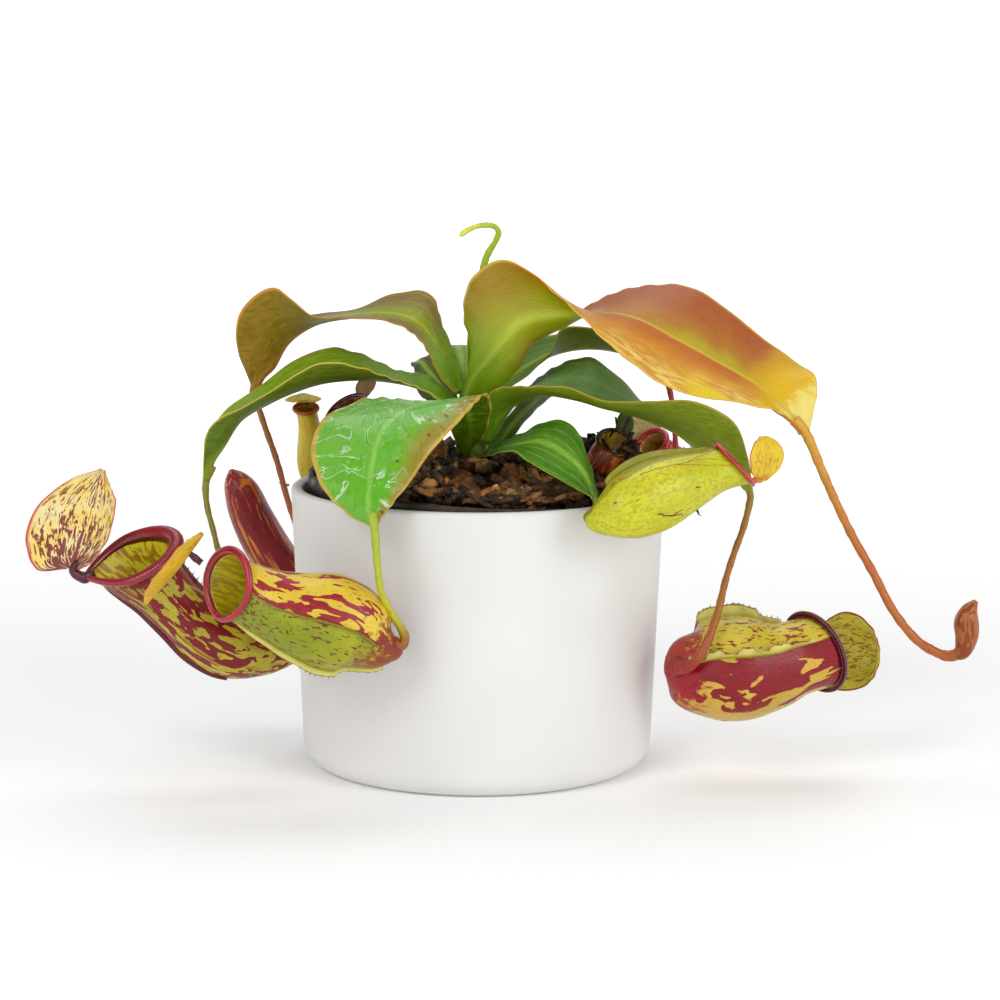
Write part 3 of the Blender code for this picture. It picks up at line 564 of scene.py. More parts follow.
def leaf_skin(name, stalk, blade, flank, tip, under, under_tip, rib, under_rib, margin, roughness=0.42,
              veins=0.5, flush=0.5):
    """Leaf finish. The colours are: stalk, upper side by the midrib, upper side towards the margins,
    upper side at the tip, underside, underside at the tip, midrib above and below, and the margin line."""
    skin = Finish(name, roughness)
    share, v, side = skin.grown("blade")
    along, over, _ = skin.grown("reach")
    off = skin.unsigned(v)
    broad = skin.mottle(skin.place(), 38.0, 3.0, 0.55, 0.6)
    fine = skin.mottle(skin.pack(skin.times(along, 0.22), over, side), 1.5, 4.0, 0.6)
    speckle = skin.mottle(skin.place(), 650.0, 3.0, 0.6)
    wander = skin.plus(off, skin.times(skin.minus(broad, 0.5), 0.9))
    top = skin.blend(skin.step(wander, 0.12, 0.7), blade, flank)
    top = skin.blend(skin.step(skin.plus(share, skin.times(broad, 0.25)), 0.82, 1.05), top, tip)
    top = skin.blend(skin.step(skin.unsigned(over), 0.5, 1.9, 0.85, 0.0), top, rib)
    lines = skin.calc("POWER", skin.unsigned(skin.calc("COSINE", skin.times(v, 10.5))), 14.0)
    top = skin.blend(skin.times(lines, 0.35 * veins), top, rib)
    low = skin.blend(skin.step(skin.plus(share, skin.times(broad, 0.5)), 0.75, 1.2), under, under_tip)
    low = skin.blend(skin.step(skin.unsigned(over), 0.9, 2.6, 1.0, 0.0), low, under_rib)
    skin_colour = skin.blend(skin.step(side, -0.4, 0.4), low, top)
    skin_colour = skin.blend(skin.step(skin.plus(share, skin.times(fine, 0.16)), 0.16, 0.36),
                             stalk, skin_colour)
    dark = skin.shaded(skin_colour, 0.72, 1.05)
    pale = skin.shaded(skin_colour, 1.18, 0.95)
    skin_colour = skin.blend(skin.step(fine, 0.25, 0.75), dark, pale)
    skin_colour = skin.blend(skin.step(speckle, 0.64, 0.74, 0.0, 0.45 * flush), skin_colour, margin)
    skin_colour = skin.blend(skin.step(off, 0.955, 0.99, 0.0, 0.85), skin_colour, margin)
    skin.set(Base_Color=skin_colour, Roughness=skin.step(fine, 0.2, 0.8, roughness - 0.08, roughness + 0.12),
             Specular_IOR_Level=0.18)
    skin.relief(skin.plus(skin.times(lines, 0.35), skin.plus(fine, skin.times(speckle, 0.3))), 0.00045, 0.55)
    return skin


GREEN = dict(stalk=dye(128, 170, 36), blade=dye(116, 168, 38), flank=dye(130, 164, 60), tip=dye(134, 156, 70),
             under=dye(98, 116, 16), under_tip=dye(122, 128, 30), rib=dye(168, 196, 90),
             under_rib=dye(138, 158, 52), margin=dye(208, 186, 112))


LEAF_LOOKS = {
    "leaf_upper_left": dict(
        GREEN, stalk=dye(132, 174, 46), blade=dye(146, 156, 56), flank=dye(140, 124, 80), tip=dye(150, 130, 70),
        under=dye(118, 112, 20), under_tip=dye(142, 112, 28), rib=dye(176, 186, 70), under_rib=dye(178, 132, 62),
        margin=dye(214, 158, 92)),
    "leaf_mid_left": dict(
        GREEN, stalk=dye(118, 164, 30), blade=dye(136, 178, 48), flank=dye(140, 172, 58), tip=dye(142, 152, 70),
        under=dye(96, 116, 18), under_tip=dye(100, 122, 50), margin=dye(222, 204, 120)),
    "leaf_upper_right": dict(
        GREEN, stalk=dye(120, 152, 28), blade=dye(196, 140, 62), flank=dye(192, 122, 78), tip=dye(206, 160, 52),
        under=dye(170, 156, 26), under_tip=dye(170, 140, 28), rib=dye(192, 176, 60), under_rib=dye(176, 190, 62),
        margin=dye(232, 190, 110), roughness=0.36),
    "leaf_mid_right": dict(
        GREEN, stalk=dye(108, 150, 32), blade=dye(116, 156, 76), flank=dye(112, 146, 86), tip=dye(126, 150, 78),
        under=dye(114, 132, 20), under_tip=dye(116, 134, 22), margin=dye(198, 170, 110)),
    "leaf_small_front": dict(
        GREEN, stalk=dye(78, 118, 26), blade=dye(92, 142, 40), flank=dye(72, 122, 30), tip=dye(70, 112, 24),
        rib=dye(150, 192, 96), veins=1.0, margin=dye(176, 190, 90), roughness=0.34),
    "leaf_back_right": dict(
        GREEN, stalk=dye(112, 156, 48), blade=dye(104, 146, 42), flank=dye(92, 132, 30), under=dye(104, 120, 24),
        under_tip=dye(100, 112, 22), margin=dye(206, 192, 100)),
    "leaf_back_left": dict(
        GREEN, stalk=dye(104, 142, 40), blade=dye(90, 112, 30), flank=dye(74, 92, 20), tip=dye(60, 62, 22),
        under=dye(86, 104, 20), under_tip=dye(58, 56, 20), margin=dye(120, 122, 60)),
    "leaf_back": dict(GREEN, blade=dye(128, 158, 92), flank=dye(134, 158, 104), stalk=dye(120, 158, 60)),
    "leaf_low_right": dict(
        GREEN, stalk=dye(84, 124, 30), blade=dye(88, 128, 40), flank=dye(84, 120, 40), under=dye(82, 118, 34),
        under_tip=dye(96, 132, 50), margin=dye(168, 192, 100)),
    "leaf_new": dict(
        GREEN, stalk=dye(150, 186, 50), blade=dye(150, 178, 48), flank=dye(140, 170, 44), tip=dye(130, 150, 26),
        under=dye(150, 176, 50), under_tip=dye(132, 150, 24), margin=dye(190, 200, 90)),
}


LEAF_COURSES = {
    "leaf_upper_left": [
        ((-6.4, 1.5, 130), (-7.4, -0.5, 130), (-5.4, 3, 131)),
        ((-9, 3, 136), (-13, -2, 136), (-6, 7, 138)),
        ((-15, 4, 147), (-18.5, -7, 147.5), (-12.5, 13, 152)),
        ((-22, 5, 155), (-25, -11, 154), (-17, 17, 163)),
        ((-33, 8, 157), (-34, -11, 157), (-29, 22, 163)),
        ((-46, 11, 156), (-45, -7, 157), (-43, 27, 157)),
        ((-58, 15, 153), (-58, 0, 157), (-57, 30, 155)),
        ((-68, 20, 146), (-71, 6, 166), (-67, 35, 152)),
        ((-73.5, 23, 137), (-83, 12, 158), (-75, 36, 145)),
        ((-77.5, 23, 133), (-85.5, 17, 145), (-79, 30, 138)),
        ((-80, 23, 129), (-81, 22, 130), (-79, 24, 130))],
    "leaf_mid_left": [
        ((-7, -2, 124), (-8, -4, 124), (-7, 0, 124.5)),
        ((-17, -3, 132), (-18, -9, 132), (-16, 4, 135)),
        ((-29, -4, 135), (-30, -14, 137), (-29, 11, 137)),
        ((-41, -5, 136), (-40, -17, 141), (-41, 14, 142)),
        ((-53, -6, 135), (-52, -19, 143), (-53, 16, 144)),
        ((-63, -7, 132), (-61, -19, 139), (-65, 14, 140)),
        ((-72, -8, 128), (-70, -19, 133), (-76, 10, 132)),
        ((-82, -9, 122), (-81, -18, 127), (-86, 5, 125)),
        ((-88, -10, 113), (-91, -16, 121), (-93, -2, 118)),
        ((-92, -10, 107), (-94, -13, 113), (-95, -6, 112)),
        ((-94, -10, 101), (-95, -11, 101), (-93, -9, 101))],
    "leaf_front": [
        ((-4.5, -6.2, 111), (-2.5, -6, 111), (-6.5, -6, 111)),
        ((-3, -17, 120), (3, -15, 119), (-9, -19, 120)),
        ((-4, -27, 128), (5, -24, 129), (-12, -30, 130)),
        ((-11, -36, 132), (3, -34, 134), (-22, -31, 131)),
        ((-23, -46, 130), (-4, -48, 128), (-37, -32, 132)),
        ((-30, -56, 125), (-14, -58, 118), (-50, -44, 127)),
        ((-33, -64, 117), (-20, -66, 110), (-54, -56, 118)),
        ((-34, -71, 108), (-26, -72, 103), (-50, -66, 107)),
        ((-34, -76, 102), (-30, -76, 98), (-41, -73, 99)),
        ((-32, -79, 96), (-31, -79, 96), (-33, -79, 96))],
    "leaf_upper_right": [
        ((-3.5, -4.6, 126), (-5.5, -4.2, 126), (-1.5, -4.4, 126)),
        ((0, -10, 137), (-2, -5, 145), (8, -9, 133)),
        ((7, -12, 147), (-5, -3, 158), (15, -8, 141)),
        ((16, -13, 156), (-2, -8, 171), (19, -4, 148)),
        ((28, -14, 159), (11, -18, 178), (28, -1, 154)),
        ((40, -14, 160), (30, -32, 165), (43, 6, 163)),
        ((54, -14, 158), (47, -34, 149), (58, 10, 167)),
        ((68, -15, 151), (66, -34, 136), (76, 10, 166)),
        ((81, -16, 144), (84, -32, 132), (93, 6, 154)),
        ((95, -17, 136), (98, -28, 129), (108, 1, 143)),
        ((105, -18, 128), (105, -22, 126), (117, -6, 136)),
        ((112, -19, 120), (111, -20, 121), (114, -17, 120))],
    "leaf_mid_right": [
        ((2.8, -3.8, 114), (1.4, -5.8, 114), (3.8, -2, 114)),
        ((6, -8, 121), (2, -12, 125), (10, 0, 123)),
        ((12, -11, 128), (6, -20, 134), (17, 9, 131)),
        ((23, -14, 132), (19, -27, 136), (27, 14, 138)),
        ((35, -17, 131), (32, -31, 136), (39, 16, 141)),
        ((46, -20, 128), (43, -34, 132), (50, 14, 134)),
        ((57, -22, 125), (59, -35, 132), (58, 9, 126)),
        ((69, -24, 120), (74, -35, 132), (69, 2, 120)),
        ((80, -25, 112), (87, -33, 125), (78, -8, 113)),
        ((88, -26, 106), (92, -30, 113), (87, -18, 106)),
        ((93, -27, 101), (94, -28, 102), (92, -26, 101))],
    "leaf_small_front": [
        ((1.5, -6, 108.6), (0, -7, 108.8), (3, -5, 109)),
        ((7, -18, 113), (5, -25, 112), (9, -12, 115)),
        ((14, -27, 116), (12, -36, 115), (16, -18, 119)),
        ((22, -35, 118), (20, -43, 111), (25, -25, 124)),
        ((30, -42, 115), (29, -49, 107), (33, -33, 123)),
        ((36, -49, 110), (35, -53, 104), (38, -43, 113)),
        ((40, -55, 102.5), (39, -56, 102.5), (41, -54, 103))],
    "leaf_back_right": [
        ((0.4, 1.8, 127), (0, 0.4, 127), (0.8, 3.2, 128)),
        ((6, 8, 132), (8, 1, 130), (4, 15, 136)),
        ((15, 13, 137), (18, 4, 137), (12, 21, 143)),
        ((25, 19, 142), (25, 8, 144), (23, 28, 147)),
        ((36, 24, 144), (30, 13, 152), (38, 33, 149)),
        ((47, 28, 143), (43, 17, 151), (49, 36, 148)),
        ((58, 32, 139), (57, 24, 147), (60, 38, 143)),
        ((67, 34, 131), (66, 33, 131), (68, 35, 131))],
    "leaf_back_left": [
        ((-6.8, 3.4, 124), (-7.6, 2, 124), (-5.8, 4.6, 125)),
        ((-13, 13, 130), (-17, 7, 126), (-11, 19, 135)),
        ((-18, 24, 135), (-22, 18, 129), (-14, 30, 140)),
        ((-21, 34, 137), (-23, 30, 134), (-19, 38, 139)),
        ((-24, 41, 136), (-25, 40, 136), (-23, 42, 136))],
    "leaf_back": [
        ((-3.4, 4, 126), (-4.8, 4, 126), (-2, 4, 126)),
        ((-6, 14, 136), (-11, 14, 136), (-1, 14, 136)),
        ((-7, 28, 142), (-14, 28, 142), (0, 27, 142)),
        ((-9, 44, 142), (-17, 44, 141), (-1, 44, 141)),
        ((-11, 60, 137), (-18, 58, 136), (-5, 60, 136)),
        ((-13, 74, 129), (-16, 73, 129), (-10, 75, 128)),
        ((-14, 81, 123), (-15, 81, 123), (-13, 81, 123))],
    "leaf_low_right": [
        ((3, 1, 110), (2, -1, 110), (3.4, 3, 110.5)),
        ((9.4, 5, 116), (7, 0, 117.5), (11.5, 9, 113.4)),
        ((15.3, 12, 122.5), (13, 6, 124.5), (17.7, 18, 119.6)),
        ((23.3, 21, 129), (21, 12, 130.5), (25.2, 30, 125)),
        ((32.3, 28, 130.6), (30.7, 20, 133), (33.8, 37, 127.5)),
        ((40.5, 34.5, 128.4), (39.5, 33.5, 129), (41.5, 35.5, 128))],
    "leaf_new": [
        ((-2.6, 0.6, 132.2), (-3.8, 0.2, 132.2), (-1.4, 0.2, 132.2)),
        ((-1, 6, 143), (-4, 3, 143), (2, 3, 143)),
        ((0, 10, 156), (-3, 5, 157), (4, 6, 157)),
        ((1, 11, 167), (-1, 9, 167), (4, 9, 167)),
        ((2, 11, 173), (1, 10, 173), (3, 11, 173))],
}

# Which way each blade's upper side faces, and how thick, ribbed and wavy it is.
LEAF_BUILD = {
    "leaf_upper_left": dict(upper=1, rib=1.0, wave=0.3, stalk=2.0),
    "leaf_mid_left": dict(upper=1, rib=0.7, wave=0.35, stalk=2.2),
    "leaf_front": dict(upper=1, rib=0.9, wave=0.5, stalk=2.4, per_span=9),
    "leaf_upper_right": dict(upper=-1, rib=1.3, wave=0.3, stalk=2.4, per_span=8),
    "leaf_mid_right": dict(upper=-1, rib=0.7, wave=0.3, stalk=2.2),
    "leaf_small_front": dict(upper=-1, rib=0.5, wave=0.3, stalk=1.8),
    "leaf_back_right": dict(upper=-1, rib=0.8, wave=0.3, stalk=2.2),
    "leaf_back_left": dict(upper=1, rib=0.6, wave=0.5, stalk=1.8),
    "leaf_back": dict(upper=1, rib=0.7, wave=0.3, stalk=1.8),
    "leaf_low_right": dict(upper=-1, rib=0.8, wave=0.2, stalk=2.2),
    "leaf_new": dict(upper=1, rib=0.5, wave=0.1, stalk=1.6),
}

# The front leaf is wet: a film of water lies on it, painted a little paler as a painted sheen and edged with squiggly
# painted highlights where it reflects the lamps, and its right side is browned by the sun with small dead spots.
wet = Finish("wet_front_leaf", 0.22)
share, v, side = wet.grown("blade")
along, over, _ = wet.grown("reach")
broad = wet.mottle(wet.place(), 45.0, 3.0, 0.55, 0.8)
fine = wet.mottle(wet.pack(wet.times(along, 0.25), over, side), 1.4, 4.0, 0.6)
spots = wet.mottle(wet.place(), 230.0, 2.0, 0.5)
puddle = wet.mottle(wet.place(), 62.0, 2.5, 0.55, 1.4)
wander = wet.plus(v, wet.times(wet.minus(broad, 0.5), 0.8))
top = wet.blend(wet.step(wander, -0.1, 0.9), dye(96, 176, 30), dye(112, 180, 62))
top = wet.blend(wet.step(wander, -0.85, -0.35, 1.0, 0.0), top, dye(150, 150, 50))
top = wet.blend(wet.step(wet.plus(wander, wet.times(fine, 0.5)), -0.66, -0.36, 0.6, 0.0), top,
                dye(166, 108, 48))
top = wet.blend(wet.step(wet.unsigned(over), 0.3, 1.4, 0.75, 0.0), top, dye(170, 216, 120))
top = wet.blend(wet.step(fine, 0.3, 0.7, 0.35, 0.0), top, dye(78, 140, 34))
top = wet.blend(wet.times(wet.step(spots, 0.66, 0.72), wet.step(v, -0.6, 0.2, 1.0, 0.15)), top, dye(92, 44, 26))
# Painted highlights: thin bright squiggles along the edges of the water, standing for the lamps' reflections in it.
painted_glint_lines = wet.times(wet.step(wet.unsigned(wet.minus(puddle, 0.52)), 0.004, 0.016, 1.0, 0.0),
                 wet.step(broad, 0.42, 0.56))
water_film_and_sheen = wet.step(puddle, 0.52, 0.545)
# Painted sheen: where the water lies the leaf is painted a little paler; the same mask also makes it glossier and
# raises it slightly.
top = wet.blend(wet.times(water_film_and_sheen, 0.12), top, dye(186, 222, 160))
top = wet.blend(wet.times(painted_glint_lines, 0.6), top, dye(236, 248, 226))
low = wet.blend(wet.step(wet.unsigned(over), 0.8, 2.4, 1.0, 0.0), dye(84, 112, 18), dye(140, 176, 70))
wet_colour = wet.blend(wet.step(side, -0.4, 0.4), low, top)
wet_colour = wet.blend(wet.step(share, 0.14, 0.3), dye(88, 118, 22), wet_colour)
wet_colour = wet.blend(wet.step(wet.unsigned(v), 0.9, 0.97), wet_colour, dye(206, 176, 92))
wet.set(Base_Color=wet_colour, Roughness=wet.step(water_film_and_sheen, 0.0, 1.0, 0.3, 0.08), Coat_Weight=0.25, Coat_Roughness=0.06,
        Specular_IOR_Level=0.4)
wet.relief(wet.plus(wet.times(water_film_and_sheen, 0.6), wet.plus(fine, wet.times(broad, 1.5))),
           0.0006, 0.8)

# The largest leaf is bronze: its near half runs from orange-brown by the midrib to cream with streaks at
# the margin, its far half is copper with a yellow-green band, and its tip is golden, painted paler towards its end as
# painted light shining through it.
bronze = Finish("bronze_upper_leaf", 0.32)
share, v, side = bronze.grown("blade")
along, over, _ = bronze.grown("reach")
broad = bronze.mottle(bronze.place(), 42.0, 3.0, 0.55, 0.8)
fine = bronze.mottle(bronze.pack(bronze.times(along, 0.25), over, side), 1.5, 4.0, 0.6)
streak = bronze.mottle(bronze.pack(bronze.times(over, 0.55), bronze.times(along, 0.16), side), 1.0, 3.0, 0.6, 0.5)
drift = bronze.plus(v, bronze.times(bronze.minus(broad, 0.5), 0.7))
far = bronze.blend(bronze.step(drift, 0.15, 0.8), dye(182, 126, 56), dye(174, 98, 58))
band = bronze.times(bronze.step(drift, 0.02, 0.34, 0.85, 0.0), bronze.step(share, 0.5, 0.66))
far = bronze.blend(band, far, dye(184, 170, 46))
near = bronze.blend(bronze.step(drift, -0.5, -0.1, 1.0, 0.0), dye(192, 112, 54), dye(208, 142, 58))
glow = bronze.times(bronze.step(v, -0.95, -0.3, 1.0, 0.0), bronze.step(share, 0.42, 0.55))
near = bronze.blend(bronze.times(glow, bronze.step(streak, 0.44, 0.6, 0.15, 1.0)), near, dye(252, 226, 150))
golden = bronze.times(bronze.times(glow, bronze.step(share, 0.6, 0.7)), bronze.step(broad, 0.4, 0.55))
near = bronze.blend(golden, near, dye(226, 196, 20))
top = bronze.blend(bronze.step(v, -0.04, 0.04), near, far)
# The tip is golden, and its very end is painted paler as painted light shining through it.
top = bronze.blend(bronze.step(bronze.plus(share, bronze.times(broad, 0.12)), 0.84, 0.96), top, dye(222, 178, 40))
top = bronze.blend(bronze.step(bronze.plus(share, bronze.times(streak, 0.1)), 0.955, 1.0), top, dye(250, 232, 150))
top = bronze.blend(bronze.step(bronze.unsigned(over), 0.25, 1.1, 0.8, 0.0), top, dye(212, 190, 84))
low = bronze.blend(bronze.step(bronze.unsigned(drift), 0.3, 0.9), dye(162, 160, 10), dye(160, 128, 14))
low = bronze.blend(bronze.step(bronze.unsigned(over), 1.2, 4.5, 0.9, 0.0), low, dye(186, 196, 62))
curl = bronze.plus(bronze.times(v, -1.0), bronze.step(share, 0.31, 0.43, -1.0, -0.5))
low = bronze.blend(bronze.times(bronze.step(curl, 0.0, 0.05), bronze.step(share, 0.3, 0.32)), low, dye(196, 120, 50))
bronze_colour = bronze.blend(bronze.step(side, -0.4, 0.4), low, top)
bronze_colour = bronze.blend(bronze.step(share, 0.1, 0.26), dye(120, 150, 26), bronze_colour)
bronze_colour = bronze.blend(bronze.step(fine, 0.25, 0.75, 0.3, 0.0), bronze_colour,
                             bronze.shaded(bronze_colour, 0.66))
bronze_colour = bronze.blend(bronze.step(bronze.unsigned(v), 0.96, 0.99, 0.0, 0.8), bronze_colour, dye(232, 196, 110))
bronze.set(Base_Color=bronze_colour, Roughness=bronze.step(fine, 0.2, 0.8, 0.28, 0.46), Specular_IOR_Level=0.45)
bronze.relief(bronze.plus(fine, bronze.times(broad, 1.5)), 0.0005, 0.6)

FINISHES = {"leaf_front": wet, "leaf_upper_right": bronze}
for node, course in LEAF_COURSES.items():
    finish = FINISHES.get(node) or leaf_skin(node + "_skin", **LEAF_LOOKS[node])
    points, faces, marks = grow_blade(course, **LEAF_BUILD[node])
    leaf = make_piece(node + "_blade", points, faces, [finish], marks)
    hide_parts(node)


# ---------------------------------------------------------------------------------------------
# Tendrils. The midrib runs on past each leaf's tip as a wiry tendril that hangs down and turns up
# into its trap. Green near the leaf, they redden and thicken towards the trap.
# ---------------------------------------------------------------------------------------------
def vine(route, radii, sides=14, per_span=8):
    """Points, faces and marks of a round tendril; the radii follow the route's points, in millimetres."""
    centres = flowing([Vector(point) for point in route], per_span)
    girths = flowing([Vector((radius, 0, 0)) for radius in radii], per_span)
    points, marks, length = [], [], 0.0
    side = None
    for index, (centre, girth) in enumerate(zip(centres, girths)):
        ahead = (centres[min(index + 1, len(centres) - 1)] - centres[max(index - 1, 0)]).normalized()
        side = (side - ahead * side.dot(ahead)).normalized() if side else ahead.orthogonal().normalized()
        other = ahead.cross(side)
        length += (centre - centres[max(index - 1, 0)]).length
        radius = girth.x * (1 + 0.06 * math.sin(length * 0.9) + 0.04 * math.sin(length * 2.3 + 1))
        for step in range(sides):
            angle = 2 * math.pi * step / sides
            points.append((centre + (side * math.cos(angle) + other * math.sin(angle)) * radius) * MM)
            marks.append((index / (len(centres) - 1), length, angle))
    faces = [(r * sides + s, r * sides + (s + 1) % sides, (r + 1) * sides + (s + 1) % sides, (r + 1) * sides + s)
             for r in range(len(centres) - 1) for s in range(sides)]
    faces += [tuple(range(sides)), tuple(range(len(points) - sides, len(points)))]
    return points, faces, {"vine": marks}


def tendril_skin(name, near_leaf, middle, near_trap):
    skin = Finish(name, 0.4)
    share, length, angle = skin.grown("vine")
    speck = skin.mottle(skin.place(), 500.0, 4.0, 0.65)
    patch = skin.mottle(skin.place(), 110.0, 2.0)
    there = skin.plus(share, skin.times(skin.minus(patch, 0.5), 0.3))
    colour = skin.blend(skin.step(there, 0.0, 0.45), near_leaf, middle)
    colour = skin.blend(skin.step(there, 0.5, 0.92), colour, near_trap)
    dark = skin.shaded(colour, 0.62)
    colour = skin.blend(skin.step(speck, 0.52, 0.72, 0.0, 0.7), colour, dark)
    skin.set(Base_Color=colour, Roughness=skin.step(speck, 0.3, 0.7, 0.32, 0.5), Specular_IOR_Level=0.5)
    skin.relief(speck, 0.0003, 0.6)
    return skin


TENDRIL_LOOKS = {
    "tendril_upper_left": (dye(150, 118, 50), dye(170, 104, 70), dye(140, 72, 48)),
    "tendril_mid_left": (dye(142, 140, 50), dye(140, 120, 44), dye(120, 62, 36)),
    "tendril_front": (dye(156, 178, 58), dye(186, 184, 54), dye(150, 82, 40)),
    "tendril_upper_right": (dye(208, 158, 66), dye(180, 104, 52), dye(160, 84, 46)),
    "tendril_mid_right": (dye(140, 122, 44), dye(160, 104, 48), dye(150, 34, 34)),
    "tendril_small_front": (dye(98, 134, 40), dye(140, 140, 50), dye(150, 120, 48)),
    "tendril_back_right": (dye(160, 70, 60), dye(168, 50, 56), dye(150, 36, 44)),
    "tendril_back": (dye(110, 134, 50), dye(150, 110, 56), dye(160, 90, 60)),
    "tendril_new": (dye(146, 172, 40), dye(160, 184, 50), dye(226, 228, 120)),
}

TENDRIL_ROUTES = {
    "tendril_upper_left": ([(-78.6, 23, 132), (-80.5, 23, 127.4), (-79, 24, 123), (-76, 26, 113), (-72.5, 28, 102),
                            (-69, 30, 88), (-65.5, 34, 76), (-61.5, 41, 64), (-58.5, 45.5, 55),
                            (-59.5, 49.5, 47.5), (-63.5, 51, 46), (-66.5, 49.5, 49)],
                           [1.5, 1.3, 1.15, 1.1, 1.1, 1.1, 1.1, 1.1, 1.15, 1.3, 1.6, 2.4]),
    "tendril_mid_left": ([(-92, -10, 105.5), (-94, -10, 99.4), (-93.5, -12, 92), (-91, -16, 84), (-88, -21, 75),
                          (-83, -27, 66), (-75, -30.5, 58), (-66, -32, 53), (-59.5, -36, 49.5), (-57, -42, 48.2),
                          (-60, -45, 48), (-65, -45.5, 47.5)],
                         [1.7, 1.3, 1.05, 1.0, 1.0, 1.0, 1.05, 1.1, 1.2, 1.4, 2.0, 3.4]),
    "tendril_front": ([(-33, -77.5, 100), (-31.9, -79.5, 94.6), (-31.2, -81, 86), (-30.5, -81.5, 79),
                       (-29.7, -81, 74.8), (-28.2, -79.5, 70.6), (-26, -78, 66.3), (-23.6, -76, 61.9),
                       (-22.4, -75, 58.6), (-23.4, -75, 56), (-27, -75.5, 56.4)],
                      [1.7, 1.5, 1.25, 1.15, 1.15, 1.2, 1.25, 1.4, 1.6, 2.0, 3.2]),
    "tendril_upper_right": ([(108.5, -18.5, 124), (113, -19.2, 118.4), (118, -20, 107), (123, -21, 96),
                             (129, -22, 84), (136, -23, 72), (143, -24, 59), (151, -24, 49), (158, -24, 44.4),
                             (163, -24, 43), (167, -24, 45), (168.6, -24, 50)],
                            [2.1, 1.8, 1.6, 1.5, 1.5, 1.5, 1.5, 1.55, 1.7, 1.9, 2.6, 3.4]),
    "tendril_mid_right": ([(91.5, -27, 104), (93.3, -27, 99.4), (93, -28, 96), (91, -29, 88), (88, -31, 80),
                           (85, -34, 71), (82.5, -39, 62), (79.5, -44, 54), (76.5, -46, 48), (73.5, -45, 44),
                           (70.5, -41, 42), (68.5, -35, 41)],
                          [1.6, 1.3, 1.2, 1.15, 1.15, 1.2, 1.35, 1.5, 1.7, 2.0, 2.6, 3.6]),
    "tendril_small_front": ([(38.5, -52.5, 105), (40.2, -56, 101.2), (40, -60, 100), (37.5, -64.5, 98),
                             (37.5, -67.5, 97), (40, -68.5, 97.2)], [1.2, 1.0, 0.95, 1.05, 1.5, 2.6]),
    "tendril_back_right": ([(64.5, 33.5, 133), (67.4, 35, 129.2), (69, 38, 123), (70, 40, 116), (70.5, 42, 110),
                            (71, 44.5, 104), (72, 46.2, 99), (73.5, 49.5, 94)],
                           [1.3, 1.1, 1.0, 1.0, 1.0, 1.1, 1.3, 1.9]),
    "tendril_back": ([(-13.5, 78, 126), (-14, 82.6, 121.4), (-18, 81, 114), (-24, 73, 107), (-31, 60, 106),
                      (-37, 46, 107), (-42, 33, 104.5), (-43, 23.5, 102.6), (-43, 20, 104.5), (-43.5, 20, 108)],
                     [1.2, 1.0, 0.9, 0.9, 0.9, 0.9, 0.95, 1.2, 1.8, 3.0]),
    "tendril_new": ([(1.6, 11, 170), (2, 11, 174.6), (3.2, 11, 178), (5.6, 11, 182), (6.8, 10.5, 185.4),
                     (4.9, 10, 187.6), (0.6, 9, 187.8), (-3.1, 8, 186.6), (-5.8, 7, 185), (-6.6, 6.6, 184.6)],
                    [1.5, 1.35, 1.15, 1.05, 1.0, 0.95, 0.9, 0.9, 0.95, 0.6]),
}

for node, (route, radii) in TENDRIL_ROUTES.items():
    points, faces, marks = vine(route, radii)
    finish = tendril_skin(node + "_skin", *TENDRIL_LOOKS[node])
    tendril = make_piece(node + "_vine", points, faces, [finish], marks)
    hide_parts(node)

thorn_route = [Vector(point) * MM for point in ((-68.4, 29.4, 93), (-70.6, 28.4, 93.4), (-72.4, 28, 94.4))]
thorn = make_piece("tendril_thorn", *strand(thorn_route, 0.5 * MM, 7, 0.1),
                   [tendril_skin("thorn_skin", *TENDRIL_LOOKS["tendril_upper_left"])])


